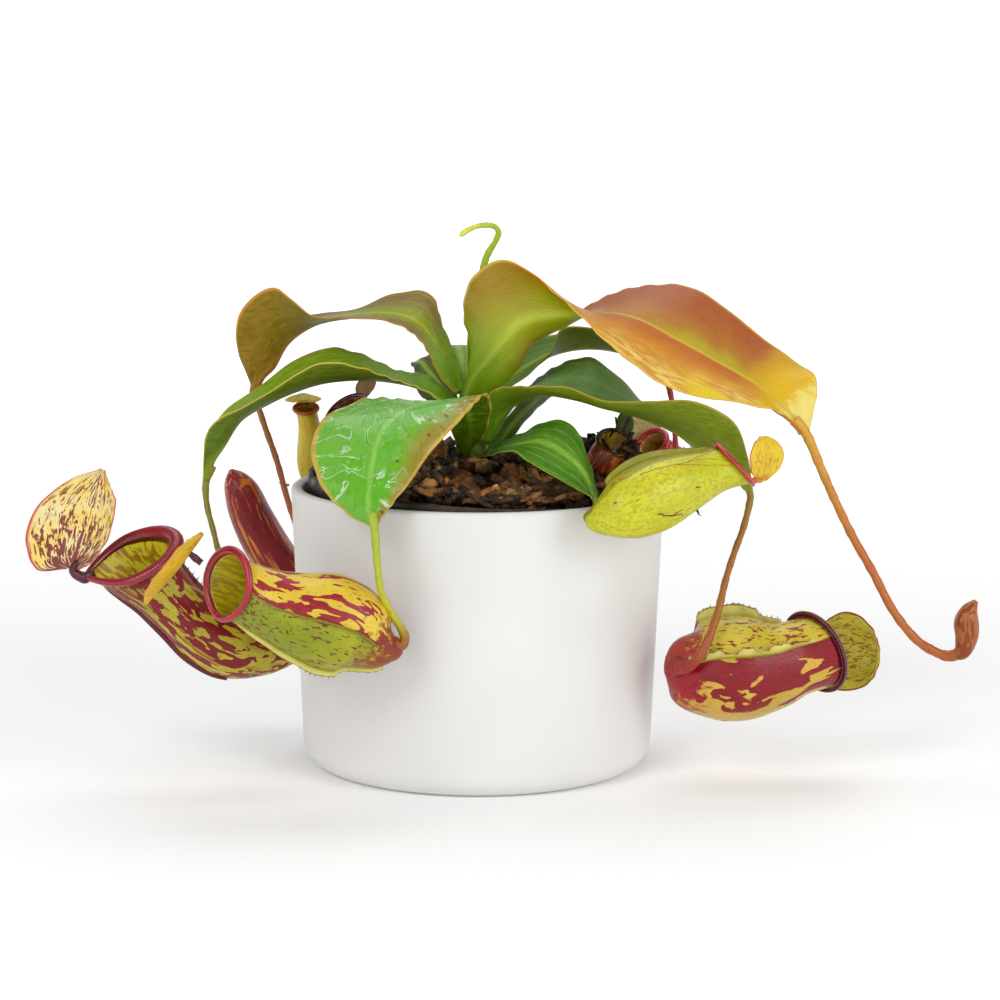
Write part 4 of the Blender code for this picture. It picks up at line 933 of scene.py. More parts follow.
# ---------------------------------------------------------------------------------------------
# Traps. Each tendril ends in a hollow trap: a thin-walled bag with a swollen belly, a narrower neck
# and a slanted mouth. Two fringed wings run down its front, and the flat strip between them is green.
# ---------------------------------------------------------------------------------------------
class Trap:
    """The course of a trap: rings of centre, sideways and upward directions and half sizes, from foot to mouth.

    A station is a centre, a half width along width_along and a half height, in millimetres. Angles run
    from width_along (0) towards the upper side (90), in degrees.
    """

    def __init__(self, stations, width_along, facing=None, pinch=0.0, per_span=8):
        centres = flowing([Vector(station[:3]) for station in stations], per_span)
        sizes = flowing([Vector((station[3], station[4], 0)) for station in stations], per_span)
        self.rings, self.lengths, self.pinch = [], [0.0], pinch
        for index, (centre, size) in enumerate(zip(centres, sizes)):
            ahead = centres[min(index + 1, len(centres) - 1)] - centres[max(index - 1, 0)]
            heading = ahead.normalized()
            turn = max(0.0, 1 - (len(centres) - 1 - index) / (len(centres) / 3))
            if facing:
                heading = heading.lerp(Vector(facing).normalized(), turn).normalized()
            along = Vector(width_along)
            side = (along - heading * along.dot(heading)).normalized()
            self.rings.append((centre, side, side.cross(heading), heading, max(size.x, 0.4), max(size.y, 0.4), turn))
            if index:
                self.lengths.append(self.lengths[-1] + (centre - centres[index - 1]).length)

    def at(self, index, degrees, inset=0.0):
        centre, side, top, heading, wide, high, turn = self.rings[index]
        angle = math.radians(degrees)
        narrow = 1 - self.pinch * turn * max(0.0, -math.sin(angle)) ** 1.6
        return centre + side * ((wide - inset) * math.cos(angle) * narrow) + top * ((high - inset) * math.sin(angle))

    def outward(self, index, degrees):
        _, side, top, _, wide, high, _ = self.rings[index]
        angle = math.radians(degrees)
        return (side * (math.cos(angle) / wide) + top * (math.sin(angle) / high)).normalized()

    def skin(self, wall=0.9, sides=56, closed=False):
        """Points, faces and marks of the bag. The marks are trap (share, millimetres along, 1 outside or
        -1 inside) and round (cosine and sine times the girth, and the angle as a share of a turn)."""
        points, trap, around, faces = [], [], [], []
        count = len(self.rings)
        layers = [(index, 0.0, 1) for index in range(count)]
        if not closed:
            layers += [(index, wall, -1) for index in range(count - 1, 1, -1)]
        for index, inset, side in layers:
            girth = (self.rings[index][4] + self.rings[index][5]) / 2
            for step in range(sides):
                degrees = 360 * step / sides
                inner = min(inset, 0.45 * min(self.rings[index][4:6]))
                points.append(self.at(index, degrees, inner) * MM)
                angle = math.radians(degrees)
                trap.append((self.lengths[index] / self.lengths[-1], self.lengths[index], side))
                around.append((girth * math.cos(angle), girth * math.sin(angle), degrees / 360))
        for ring in range(len(layers) - 1):
            for step in range(sides):
                a, b = ring * sides + step, ring * sides + (step + 1) % sides
                faces.append((a, b, b + sides, a + sides))
        faces += [tuple(range(sides)), tuple(range(len(points) - sides, len(points)))]
        return points, faces, {"trap": trap, "round": around}


def trap_finish(name, ground, blotch, cover=0.5, stretch=(0.3, 0.12), band=None, inside=None, upper=0.0,
                onward=0.0, roughness=0.3, flecks=0.5, stripes=None, foot=None):
    """Trap finish. ground and blotch are pairs of colours; cover is the blotched share, more of it on the
    upper side and towards the mouth by upper and onward; stretch is how fine the blotches are across
    and along. band is the strip between the wings: first and last angle, two colours and its dashes.
    stripes are the first and last angle of lengthwise lines, and foot colours the lower end."""
    skin = Finish(name, roughness)
    share, along, side = skin.grown("trap")
    x, y, _ = skin.grown("round")
    turn = skin.calc("FRACT", skin.plus(skin.calc("DIVIDE", skin.calc("ARCTAN2", y, x), 2 * math.pi), 1.0))
    across, down = stretch
    spot = skin.pack(skin.times(x, across), skin.times(y, across),
                     skin.times(along, down))
    shape = skin.mottle(spot, 1.0, 2.6, 0.5, 0.45)
    tone = skin.mottle(skin.place(), 60.0, 3.0, 0.6)
    fine = skin.mottle(skin.pack(x, y, skin.times(along, 0.25)), 1.6, 4.0, 0.65)
    base = skin.blend(skin.step(tone, 0.35, 0.65), ground[0], ground[1])
    dots = skin.mottle(skin.pack(x, y, skin.times(along, 0.8)), 1.15, 1.0, 0.5)
    base = skin.blend(skin.step(dots, 0.665, 0.69, 0.0, flecks), base, blotch[0])
    ink = skin.blend(skin.step(fine, 0.3, 0.7), blotch[0], blotch[1])
    edge = 0.62 - 0.24 * cover
    lean = skin.plus(skin.times(y, 0.01 * upper),
                     skin.times(skin.minus(share, 0.5), 0.22 * onward))
    level = skin.plus(shape, lean)
    colour = skin.blend(skin.step(level, edge - 0.006, edge + 0.006), base, ink)

    def strip(first, last, soft):
        return skin.times(skin.step(turn, (first - soft) / 360, (first + soft) / 360),
                         skin.step(turn, (last - soft) / 360, (last + soft) / 360, 1.0, 0.0))

    if stripes:
        lines = skin.mottle(skin.pack(skin.times(x, 0.7), skin.times(y, 0.7),
                                      skin.times(along, 0.03)), 1.0, 2.0, 0.5, 0.2)
        colour = skin.blend(skin.times(strip(stripes[0], stripes[1], 8), skin.step(lines, 0.49, 0.51)),
                            colour, ink)
    if band:
        first, last, pale, deep, dash = band
        face = skin.blend(skin.step(skin.plus(tone, skin.times(share, -0.2)), 0.22, 0.6), deep, pale)
        marks = skin.mottle(skin.pack(skin.times(x, 1.0), skin.times(y, 1.0),
                                      skin.times(along, 0.32)), 1.0, 1.5, 0.5, 0.3)
        marks = skin.plus(marks, skin.times(share, 0.05))
        face = skin.blend(skin.step(marks, 0.62, 0.635, 0.0, 0.9), face, dash)
        colour = skin.blend(strip(first, last, 2), colour, face)
    if foot:
        strands = skin.mottle(skin.pack(x, y, skin.times(along, 0.06)), 0.8, 3.0, 0.6, 0.3)
        reach = skin.plus(share, skin.times(skin.minus(strands, 0.5), 0.6))
        colour = skin.blend(skin.step(reach, 0.1, 0.24, 0.95, 0.0), colour, foot)
    colour = skin.blend(skin.step(fine, 0.2, 0.8, 0.0, 0.35), colour,
                        skin.shaded(colour, 0.6))
    if inside:
        throat = skin.mottle(spot, 1.4, 3.0, 0.6, 0.4)
        lining_and_shade = skin.blend(skin.step(throat, 0.46, 0.56), inside[0], inside[1])
        # Painted shade: the lining is darkened towards the bottom of the bag, deep inside, where shade falls.
        lining_and_shade = skin.blend(skin.step(share, 0.2, 0.7, 0.4, 0.0), lining_and_shade, dye(74, 58, 12))
        colour = skin.blend(skin.step(side, -0.2, 0.2), lining_and_shade, colour)
    skin.set(Base_Color=colour, Roughness=skin.step(fine, 0.2, 0.8, roughness - 0.06, roughness + 0.14),
             Specular_IOR_Level=0.35, Coat_Weight=0.12, Coat_Roughness=0.12)
    skin.relief(skin.plus(skin.times(fine, 0.6), skin.times(tone, 0.8)), 0.0006, 0.6)
    return skin


def wing_fringe(name, trap, first, last, angle, height, finish, frill=0.5, hairs=0.0, lean=0.0, swell=1.0):
    """A fringed wing along a trap. first and last are shares of its length; angle and height are
    pairs, at the first and last end, in degrees and millimetres; hairs is the hair length."""
    count = len(trap.rings)
    rows = [index for index in range(count) if first <= trap.lengths[index] / trap.lengths[-1] <= last]
    points, marks, bristles = [], [], Heap()
    profile = [(-0.6, -0.45), (0.35, -0.3), (0.75, -0.22), (1, 0), (0.75, 0.22), (0.35, 0.3), (-0.6, 0.45)]
    for row, index in enumerate(rows):
        t = row / (len(rows) - 1)
        degrees = angle[0] + (angle[1] - angle[0]) * t
        tall = (height[0] + (height[1] - height[0]) * t) * (math.sin(math.pi * min(1, 0.12 + t * 0.94)) ** 0.5) * swell
        normal = trap.outward(index, degrees + lean)
        surface = trap.at(index, degrees)
        heading = trap.rings[index][3]
        across = normal.cross(heading).normalized()
        length = trap.lengths[index]
        sway = frill * (math.sin(length * 0.55) + 0.5 * math.sin(length * 1.6 + 1))
        for out, off in profile:
            rise = out * tall if out > 0 else out
            points.append((surface + normal * rise + across * (off + sway * max(0, out) ** 2)) * MM)
            marks.append((max(0, out), length, t))
        if hairs and row % 2 == 0:
            tip = surface + normal * tall + across * sway
            reach = hairs * (0.55 + 0.45 * math.sin(length * 5.3) ** 2)
            leanover = (normal + across * 0.5 * math.sin(length * 3.1) + heading * 0.3).normalized()
            bristles.add(*strand([tip * MM, (tip + leanover * reach * 0.5) * MM, (tip + leanover * reach) * MM],
                                 0.22 * MM, 5, 0.15), (1, length, t))
    n = len(profile)
    faces = [(r * n + s, r * n + (s + 1) % n, (r + 1) * n + (s + 1) % n, (r + 1) * n + s)
             for r in range(len(rows) - 1) for s in range(n)]
    faces += [tuple(range(n)), tuple(range(len(points) - n, len(points)))]
    bristles.add(points, faces, None)
    shades = [shade for shade in bristles.shades if shade is not None] + marks
    piece = make_piece(name, bristles.points, bristles.faces, [finish], {"fringe": shades})
    return piece


def fringe_skin(name, root, edge, tip):
    skin = Finish(name, 0.4)
    out, length, share = skin.grown("fringe")
    fine = skin.mottle(skin.place(), 480.0, 3.0, 0.6)
    colour = skin.blend(skin.step(out, 0.05, 0.6), root, edge)
    colour = skin.blend(skin.step(skin.plus(out, skin.times(fine, 0.2)), 0.95, 1.1), colour, tip)
    skin.set(Base_Color=colour, Roughness=0.42)
    skin.relief(fine, 0.0003, 0.6)
    return skin


RED_GREEN = dict(ground=(dye(196, 182, 72), dye(152, 144, 44)), blotch=(dye(140, 14, 20), dye(112, 10, 22)),
                 inside=(dye(186, 176, 44), dye(126, 104, 22)))

TRAPS = {
    "far_left": dict(
        width_along=(0, 1, 0), facing=(-0.3, -0.5, 0.8), pinch=0.5, stations=[
            (-60, -45, 48, 2.0, 2.0), (-64, -45, 47, 5, 5), (-72, -46, 47.5, 8.5, 8.5),
            (-81, -47, 50, 11.5, 11.7), (-90, -48, 55, 12, 11.6), (-98.5, -49, 62, 11, 9.8),
            (-105.5, -49.5, 69.5, 10.5, 10.4), (-111, -50, 75, 10.5, 12.6), (-115, -50.5, 79.5, 10.5, 15.2)],
        look=dict(RED_GREEN, cover=0.5, upper=0.5, onward=0.3, stretch=(0.42, 0.12), stripes=(205, 285),
                  inside=(dye(226, 214, 80), dye(176, 130, 40)))),
    "front_left": dict(
        width_along=(0, 1, 0), facing=(-0.68, -0.7, 0.15), pinch=0.25, stations=[
            (-23.6, -74, 54.6, 1.9, 1.9), (-26.4, -75, 54.6, 4, 4.4), (-31, -76, 56.2, 7.7, 8.5),
            (-37.6, -77, 60.8, 11.7, 14), (-47, -78.5, 64.5, 13, 16), (-56, -79.5, 67, 12.5, 14),
            (-66, -80.5, 70.5, 11, 11.5), (-74, -81, 74, 10, 10.6), (-79.5, -82, 77, 10, 10.8)],
        look=dict(ground=(dye(238, 208, 98), dye(222, 192, 78)), blotch=(dye(172, 58, 70), dye(140, 24, 34)),
                  cover=0.7, stretch=(0.4, 0.1), upper=-0.9, foot=dye(140, 44, 24),
                  band=(172, 262, dye(176, 172, 44), dye(134, 146, 22), dye(112, 40, 18)),
                  inside=(dye(196, 180, 52), dye(160, 140, 36)))),
    "right": dict(
        width_along=(0, -1, 0), facing=(0.73, 0.62, 0.28), stations=[
            (65.6, -31, 41, 3, 4), (69, -30, 40.5, 8.5, 10), (75, -29, 39, 13, 15),
            (83, -28, 39, 15.5, 18), (93, -27, 39, 15.5, 18), (102, -26, 40, 13.5, 15.5),
            (109, -25, 42, 12, 13.4), (116.5, -24, 43.8, 12.5, 13)],
        look=dict(ground=(dye(224, 186, 104), dye(200, 172, 74)), blotch=(dye(152, 20, 28), dye(118, 10, 24)),
                  cover=0.86, stretch=(0.25, 0.1), upper=1.2, onward=0.5, roughness=0.2, foot=dye(168, 26, 42),
                  band=(24, 128, dye(228, 208, 110), dye(206, 188, 76), dye(140, 20, 32)),
                  inside=(dye(130, 60, 30), dye(90, 24, 24)))),
    "over_rim": dict(
        width_along=(0, -1, 0), facing=(0.75, 0.1, 0.7), stations=[
            (37, -68, 96.6, 1.8, 1.8), (40, -68.5, 96.8, 4.5, 4.5), (45, -68.5, 98.5, 8, 8),
            (51, -67, 101, 10, 11), (60, -63, 104.5, 10.5, 12), (70, -58, 108.3, 9.5, 10),
            (79, -53, 111.3, 8, 8), (86, -50, 112.8, 7.5, 8.4)],
        look=dict(ground=(dye(214, 214, 70), dye(190, 198, 44)), blotch=(dye(196, 186, 52), dye(190, 176, 50)),
                  cover=0.4, stretch=(0.9, 0.7), flecks=0.3, stripes=(250, 300),
                  band=(62, 100, dye(170, 164, 34), dye(150, 148, 28), dye(150, 80, 40)),
                  inside=(dye(180, 160, 60), dye(150, 110, 40)))),
    "back_right": dict(
        width_along=(1, 0, 0), facing=(-0.5, -0.6, 0.7), stations=[
            (77, 60, 80, 1.6, 1.6), (76.5, 59, 84, 5, 5), (75, 57, 90, 7.5, 7.5),
            (72, 55, 96, 7.2, 7.2), (67, 53, 101, 6.2, 6.2), (62.5, 51, 105.5, 5.6, 5.6)],
        look=dict(ground=(dye(222, 130, 110), dye(206, 90, 90)), blotch=(dye(186, 36, 56), dye(160, 26, 46)),
                  cover=0.9, inside=(dye(226, 190, 120), dye(206, 150, 110)))),
    "back_left": dict(
        width_along=(1, 0, 0), facing=(0, -0.35, 0.94), stations=[
            (-60, 43, 88, 1.6, 1.6), (-60.5, 43, 92, 3.8, 3.8), (-61, 43, 99, 5.4, 5.4),
            (-61, 43, 107, 5.2, 5.2), (-62, 42.5, 114, 3.9, 3.9), (-63, 42, 119, 3.9, 3.9)],
        look=dict(ground=(dye(226, 208, 84), dye(212, 190, 62)), blotch=(dye(226, 196, 84), dye(216, 180, 70)),
                  cover=0.25, inside=(dye(176, 150, 40), dye(150, 120, 30)))),
    "soil_left": dict(
        width_along=(1, 0, 0), facing=(-0.5, -0.45, 0.75), stations=[
            (-43, 20, 104, 1.8, 1.8), (-43.5, 20, 107, 5, 5), (-44, 19.5, 112, 7, 7),
            (-45.5, 19, 117, 7.5, 7.5), (-47, 18, 121, 8, 8)],
        look=dict(RED_GREEN, cover=0.75, ground=(dye(190, 130, 80), dye(160, 96, 60)),
                  inside=(dye(150, 96, 50), dye(110, 60, 30)))),
    "old": dict(
        width_along=(1, 0, 0), facing=(0.2, -0.55, 0.8), stations=[
            (40, 1, 101, 1.8, 1.8), (41, 1.5, 103.4, 4.6, 4.6), (43.5, 2.5, 106.5, 5.8, 5.8),
            (46, 3.5, 109.5, 6, 6), (48, 4.5, 112.5, 6, 6)],
        look=dict(ground=(dye(220, 130, 48), dye(190, 96, 36)), blotch=(dye(140, 56, 24), dye(104, 42, 20)),
                  cover=0.45, inside=(dye(214, 172, 70), dye(160, 118, 40)))),
}

traps = {}
for name, plan in TRAPS.items():
    trap = Trap(plan["stations"], plan["width_along"], plan["facing"], plan.get("pinch", 0.0))
    finish = trap_finish("trap_" + name + "_skin", **plan["look"])
    points, faces, marks = trap.skin()
    bag = make_piece("trap_" + name, points, faces, [finish], marks)
    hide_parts("pitcher_" + name)
    traps[name] = trap

pale_fringe = fringe_skin("pale_fringe", dye(190, 184, 80), dye(222, 214, 140), dye(160, 110, 60))
olive_fringe = fringe_skin("olive_fringe", dye(128, 130, 26), dye(142, 140, 36), dye(120, 60, 30))
maroon_fringe = fringe_skin("maroon_fringe", dye(110, 24, 28), dye(92, 20, 28), dye(60, 14, 20))
wing_fringe("wing_front_left_upper", traps["front_left"], 0.14, 0.97, (172, 172), (1.8, 1.2), olive_fringe, 0.35, 0.5)
wing_fringe("wing_front_left_lower", traps["front_left"], 0.07, 0.97, (262, 250), (2.2, 2.2), pale_fringe, 0.4, 1.0)
wing_fringe("wing_right_front", traps["right"], 0.08, 0.98, (20, 26), (3.2, 4.6), pale_fringe, 1.3, 0.3, 26)
wing_fringe("wing_right_back", traps["right"], 0.16, 0.98, (126, 112), (5.6, 5.0), pale_fringe, 0.8, 1.0, -34)
wing_fringe("wing_over_rim_upper", traps["over_rim"], 0.2, 0.98, (104, 96), (3.0, 1.8), olive_fringe, 0.4, 0.9)
wing_fringe("wing_far_left_lower", traps["far_left"], 0.3, 0.97, (248, 262), (1.4, 1.3), maroon_fringe, 0.3, 0.0)
wing_fringe("wing_far_left_back", traps["far_left"], 0.3, 0.97, (66, 80), (1.2, 1.4), maroon_fringe, 0.3, 1.6)


def surface_marks(name, trap, lines, radius, finish):
    """Thin raised lines on a trap. Each line is a list of (share of the length, angle)."""
    heap = Heap()
    last = len(trap.rings) - 1
    for line in lines:
        route = []
        for (share_a, turn_a), (share_b, turn_b) in zip(line, line[1:]):
            for step in range(4):
                t = step / 4
                index = round((share_a + (share_b - share_a) * t) * last)
                route.append(trap.at(index, turn_a + (turn_b - turn_a) * t) * MM)
        route.append(trap.at(round(line[-1][0] * last), line[-1][1]) * MM)
        heap.add(*strand(route, radius * MM, 6, 0.4), (0.5, 0, 0))
    piece = make_piece(name, heap.points, heap.faces, [finish], {"fringe": heap.shades})


vein_skin = fringe_skin("reddish_vein", dye(176, 110, 50), dye(176, 110, 50), dye(150, 60, 40))
scar_skin = fringe_skin("brown_scar", dye(96, 58, 24), dye(96, 58, 24), dye(60, 34, 14))
surface_marks("veins_over_rim", traps["over_rim"], [
    [(0.5, 52), (0.68, 44), (0.84, 38), (0.99, 20)], [(0.66, 45), (0.8, 22), (0.98, 4)],
    [(0.72, 42), (0.86, 56), (0.98, 66)]], 0.16, vein_skin)
surface_marks("scars_over_rim", traps["over_rim"], [
    [(0.5, -22), (0.55, -34), (0.6, -42), (0.62, -52)], [(0.56, -36), (0.6, -34)], [(0.33, 30), (0.345, 27)],
    [(0.42, 12), (0.44, 14)], [(0.7, -8), (0.71, -14)]], 0.28, scar_skin)
hook = traps["over_rim"].at(round(0.7 * (len(traps["over_rim"].rings) - 1)), -74)
thorn_route = [hook * MM, (hook + Vector((0.6, -0.6, -1.4))) * MM, (hook + Vector((1.8, -0.8, -1.9))) * MM]
thorn_points, thorn_faces = strand(thorn_route, 0.45 * MM, 7, 0.15)
thorn = make_piece("trap_thorn", thorn_points, thorn_faces, [scar_skin], {"fringe": [(1, 0, 0)] * len(thorn_points)})


# ---------------------------------------------------------------------------------------------
# Mouth collars. Round each mouth the wall is rolled outward into a hard, shiny, finely ribbed
# collar, dark red on the red traps and thin and orange on the pale ones.
# ---------------------------------------------------------------------------------------------
# The rolled outline: millimetres outward from the rim and along the mouth's facing, from inside over the top.
ROLL = [(-1.0, -1.5), (-0.95, -0.6), (-0.55, 0.35), (0.2, 0.95), (1.05, 1.0), (1.85, 0.5), (2.2, -0.3),
        (2.0, -1.0), (1.45, -0.95), (0.9, -0.4), (0.1, -0.35), (-0.4, -0.95)]


def roll_collar(trap, facing, size, ribs, swell):
    """Points, faces and marks of a ribbed collar on a trap's mouth; it is thickest at 90 degrees."""
    steps = ribs * 5
    last = len(trap.rings) - 1
    face = Vector(facing).normalized()
    points, marks = [], []
    for step in range(steps):
        degrees = 360 * step / steps
        out = (trap.outward(last, degrees) - face * trap.outward(last, degrees).dot(face)).normalized()
        scale = size * (1 + swell * (math.sin(math.radians(degrees)) - 0.2))
        rib = abs(math.sin(math.pi * ribs * degrees / 360))
        rim = trap.at(last, degrees) + face * (0.75 * scale)
        for index, (across, rise) in enumerate(ROLL):
            lift = 1 + (0.045 * rib if index < 9 else 0)
            points.append((rim + out * (across * scale * lift) + face * (rise * scale * lift)) * MM)
            marks.append((index / len(ROLL), rib, degrees / 360))
    n = len(ROLL)
    faces = [(a * n + s, a * n + (s + 1) % n, ((a + 1) % steps) * n + (s + 1) % n, ((a + 1) % steps) * n + s)
             for a in range(steps) for s in range(n)]
    return points, faces, {"collar": marks}


def collar_skin(name, crest, groove, inner, roughness=0.16):
    skin = Finish(name, roughness)
    place, rib, turn = skin.grown("collar")
    tone = skin.mottle(skin.place(), 130.0, 3.0, 0.6)
    # The grooves between the ribs are darker than the crests: partly the collar's own colour, partly painted shade in
    # the grooves.
    colour = skin.blend(skin.step(rib, 0.1, 0.8), groove, crest)
    colour = skin.blend(skin.step(tone, 0.42, 0.62, 0.0, 0.4), colour, groove)
    colour = skin.blend(skin.step(place, 0.05, 0.2, 0.8, 0.0), colour, inner)
    skin.set(Base_Color=colour, Roughness=skin.step(tone, 0.3, 0.7, roughness, roughness + 0.14),
             Specular_IOR_Level=0.5, Coat_Weight=0.35, Coat_Roughness=0.06)
    skin.relief(tone, 0.0003, 0.5)
    return skin


# Size against the rolled outline, ribs, how much thicker at the top, and the crest, groove and inner colours.
COLLARS = {
    "far_left": (1.3, 96, 0.4, (dye(150, 14, 34), dye(104, 6, 20), dye(70, 5, 16))),
    "front_left": (0.86, 84, 0.1, (dye(176, 30, 46), dye(126, 12, 26), dye(80, 8, 18))),
    "right": (1.0, 84, 0.1, (dye(96, 8, 24), dye(62, 4, 14), dye(60, 6, 16))),
    "over_rim": (0.75, 64, 0.0, (dye(190, 60, 52), dye(150, 36, 40), dye(150, 60, 40))),
    "back_right": (0.7, 44, 0.0, (dye(196, 44, 60), dye(160, 26, 40), dye(150, 60, 56))),
    "back_left": (0.5, 40, 0.0, (dye(190, 96, 56), dye(150, 60, 40), dye(150, 90, 50))),
    "soil_left": (0.45, 44, 0.0, (dye(96, 30, 26), dye(56, 14, 14), dye(50, 16, 14))),
    "old": (0.5, 36, 0.0, (dye(96, 60, 22), dye(54, 30, 14), dye(60, 40, 16))),
}
for name, (size, ribs, swell, colours) in COLLARS.items():
    points, faces, marks = roll_collar(traps[name], TRAPS[name]["facing"], size, ribs, swell)
    collar = make_piece("collar_" + name, points, faces, [collar_skin("collar_" + name + "_skin", *colours)], marks)
    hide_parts("mouth_rim_" + name)


# ---------------------------------------------------------------------------------------------
# Lids. A thin oval lid springs from the back of each mouth and holds the rain off. It is built like
# a small leaf, with veins that fan out from its hinge, and it is hinged by a short dark stalk.
# ---------------------------------------------------------------------------------------------
def lid_course(route, half_widths, across, cup):
    across = Vector(across).normalized()
    heading = (Vector(route[-1]) - Vector(route[0])).normalized()
    face = across.cross(heading).normalized()
    course = []
    for point, half_width in zip(route, half_widths):
        rise = face * (cup * half_width)
        course.append((Vector(point), Vector(point) - across * half_width + rise,
                       Vector(point) + across * half_width + rise))
    return course


def lid_skin(name, ground, veins, edge, cover=0.5, foot=0.3, fineness=1.0):
    """Lid finish. ground is a pair of colours; cover is the share that the vein colour takes, which is
    more near the hinge, out to foot; fineness is how small the strokes are."""
    skin = Finish(name, 0.38)
    share, v, side = skin.grown("blade")
    tone = skin.mottle(skin.place(), 90.0, 3.0, 0.6)
    stroke = skin.pack(skin.times(v, 5.5 * fineness), skin.times(share, 3.2 * fineness), side)
    streak = skin.mottle(stroke, 1.6, 3.0, 0.55, 0.9)
    fine = skin.mottle(skin.place(), 420.0, 3.0, 0.6)
    base = skin.blend(skin.step(tone, 0.35, 0.65), ground[0], ground[1])
    level = skin.plus(streak, skin.step(share, 0.0, foot, 0.14, 0.0))
    level = skin.minus(level, skin.times(skin.calc("POWER", skin.unsigned(v), 4.0), 0.07))
    limit = 0.66 - 0.26 * cover
    colour = skin.blend(skin.step(level, limit - 0.008, limit + 0.012, 0.0, 0.95), base, veins)
    colour = skin.blend(skin.step(skin.unsigned(v), 0.93, 0.985), colour, edge)
    colour = skin.blend(skin.step(fine, 0.3, 0.75, 0.0, 0.25), colour,
                        skin.shaded(colour, 0.7))
    skin.set(Base_Color=colour, Roughness=skin.step(fine, 0.3, 0.7, 0.32, 0.5), Specular_IOR_Level=0.4)
    skin.relief(skin.plus(streak, skin.times(fine, 0.4)), 0.0006, 0.6)
    return skin


CREAM_LID = dict(ground=(dye(255, 240, 190), dye(255, 226, 140)), veins=dye(120, 28, 44), edge=dye(216, 110, 104))
# Each lid's shape (the direction across, the cup, its half widths and its course) and its finish.
LIDS = {
    "lid_far_left": (None, dict(CREAM_LID, cover=0.5, foot=0.4, fineness=1.9)),
    "lid_front_left": (((0.1, 1, 0.1), 0.35, [1.2, 8, 11, 8, 1.2], [
        (-88, -83, 94), (-92, -83.5, 88), (-97, -84.5, 81.5), (-102, -85.5, 76), (-106, -86, 72)]),
        dict(ground=(dye(232, 190, 70), dye(216, 172, 52)), veins=dye(176, 120, 50),
             edge=dye(220, 170, 80), cover=0.1)),
    "lid_right": (((0, 0.1, 1), -0.1, [6, 10.4, 13.2, 13.8, 12.2, 8.6, 3], [
        (118, -9, 41), (121.4, -8.7, 41), (125.6, -8.6, 41.2), (130, -9.4, 41.5),
        (134.4, -11.6, 41.5), (137.8, -14.4, 41.5), (139.6, -16.2, 41.5)]),
        dict(ground=(dye(196, 182, 70), dye(222, 208, 112)), veins=dye(150, 104, 40),
             edge=dye(150, 60, 44), cover=0.45, fineness=1.8)),
    "lid_over_rim": (((0.8, 0.6, 0), 0.1, [2, 6.4, 7.4, 5.6, 1.6], [
        (95.9, -45.6, 106.7), (96.7, -44.5, 110.5), (97, -43.8, 115), (96.8, -43.3, 119), (96.4, -43, 121.5)]),
        dict(ground=(dye(232, 206, 62), dye(216, 186, 44)), veins=dye(204, 136, 40),
             edge=dye(226, 120, 76), cover=0.4, fineness=1.6)),
    "lid_back_right": (((0.75, 0.1, 0.65), 0.1, [1.4, 7, 8.6, 7.4, 1.2], [
        (64, 59.5, 106), (61, 59.5, 108.6), (57.6, 59.5, 111.4), (54.6, 59.5, 114.4), (52.4, 59.5, 117)]),
        dict(ground=(dye(232, 222, 176), dye(224, 208, 150)), veins=dye(206, 160, 120),
             edge=dye(220, 200, 130), cover=0.15)),
    "lid_back_left": (((1, 0, 0), 0.25, [1.2, 5.5, 6.6, 5, 1.2], [
        (-63, 47.6, 121.9), (-63.5, 44.4, 123.6), (-64, 40.5, 124.2), (-64, 37, 123.4), (-64, 35.5, 122.4)]),
        dict(ground=(dye(206, 186, 70), dye(186, 168, 54)), veins=dye(150, 124, 34),
             edge=dye(206, 150, 70), cover=0.35)),
    "lid_soil_left": (((0.6, 0.8, 0), 0.1, [1.2, 4.6, 5.2, 3.4, 0.9], [
        (-42, 28.5, 124), (-41.5, 29, 127), (-40.8, 29.5, 130), (-39.6, 30, 133), (-39, 30, 135)]),
        dict(ground=(dye(226, 190, 130), dye(206, 160, 96)), veins=dye(180, 110, 80),
             edge=dye(150, 150, 70), cover=0.2)),
    "lid_old": (((0.9, 0.3, 0), 0.1, [1, 3, 3.4, 2.6, 1], [
        (51, 12.6, 113), (51.3, 13.2, 115.5), (51.5, 13.6, 118), (51.5, 13.8, 120.5), (51.5, 14, 122.5)]),
        dict(ground=(dye(100, 120, 30), dye(80, 100, 20)), veins=dye(60, 74, 16), edge=dye(130, 140, 50), cover=0.3)),
}
# The largest lid is heart-shaped and lies open, so that its course is given with both margins.
HEART = [
    ((-135, -49, 76.6), (-137.4, -48, 75.8), (-133.4, -50, 75.6)),
    ((-134, -49, 80.5), (-147.5, -45, 75), (-127.8, -53, 79.2)),
    ((-132, -49, 86), (-151.3, -44, 83.3), (-123, -54, 86)),
    ((-130.7, -48, 92.6), (-150, -43, 91.7), (-120.2, -53, 94)),
    ((-129, -47, 99), (-145, -43, 99), (-120, -51, 100)),
    ((-126.7, -46, 105), (-135.5, -44, 106), (-122, -48, 104)),
    ((-124.8, -45, 109.2), (-126, -45, 109.4), (-124, -45, 108.6))]
for node, (shape, look) in LIDS.items():
    if shape:
        across, cup, half_widths, route = shape
        course = lid_course(route, half_widths, across, cup)
    else:
        course = HEART
    points, faces, marks = grow_blade(course, thick=0.7, rib=0.35, wave=0.25, stalk=1.3)
    lid = make_piece(node + "_blade", points, faces, [lid_skin(node + "_skin", **look)], marks)
    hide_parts(node)

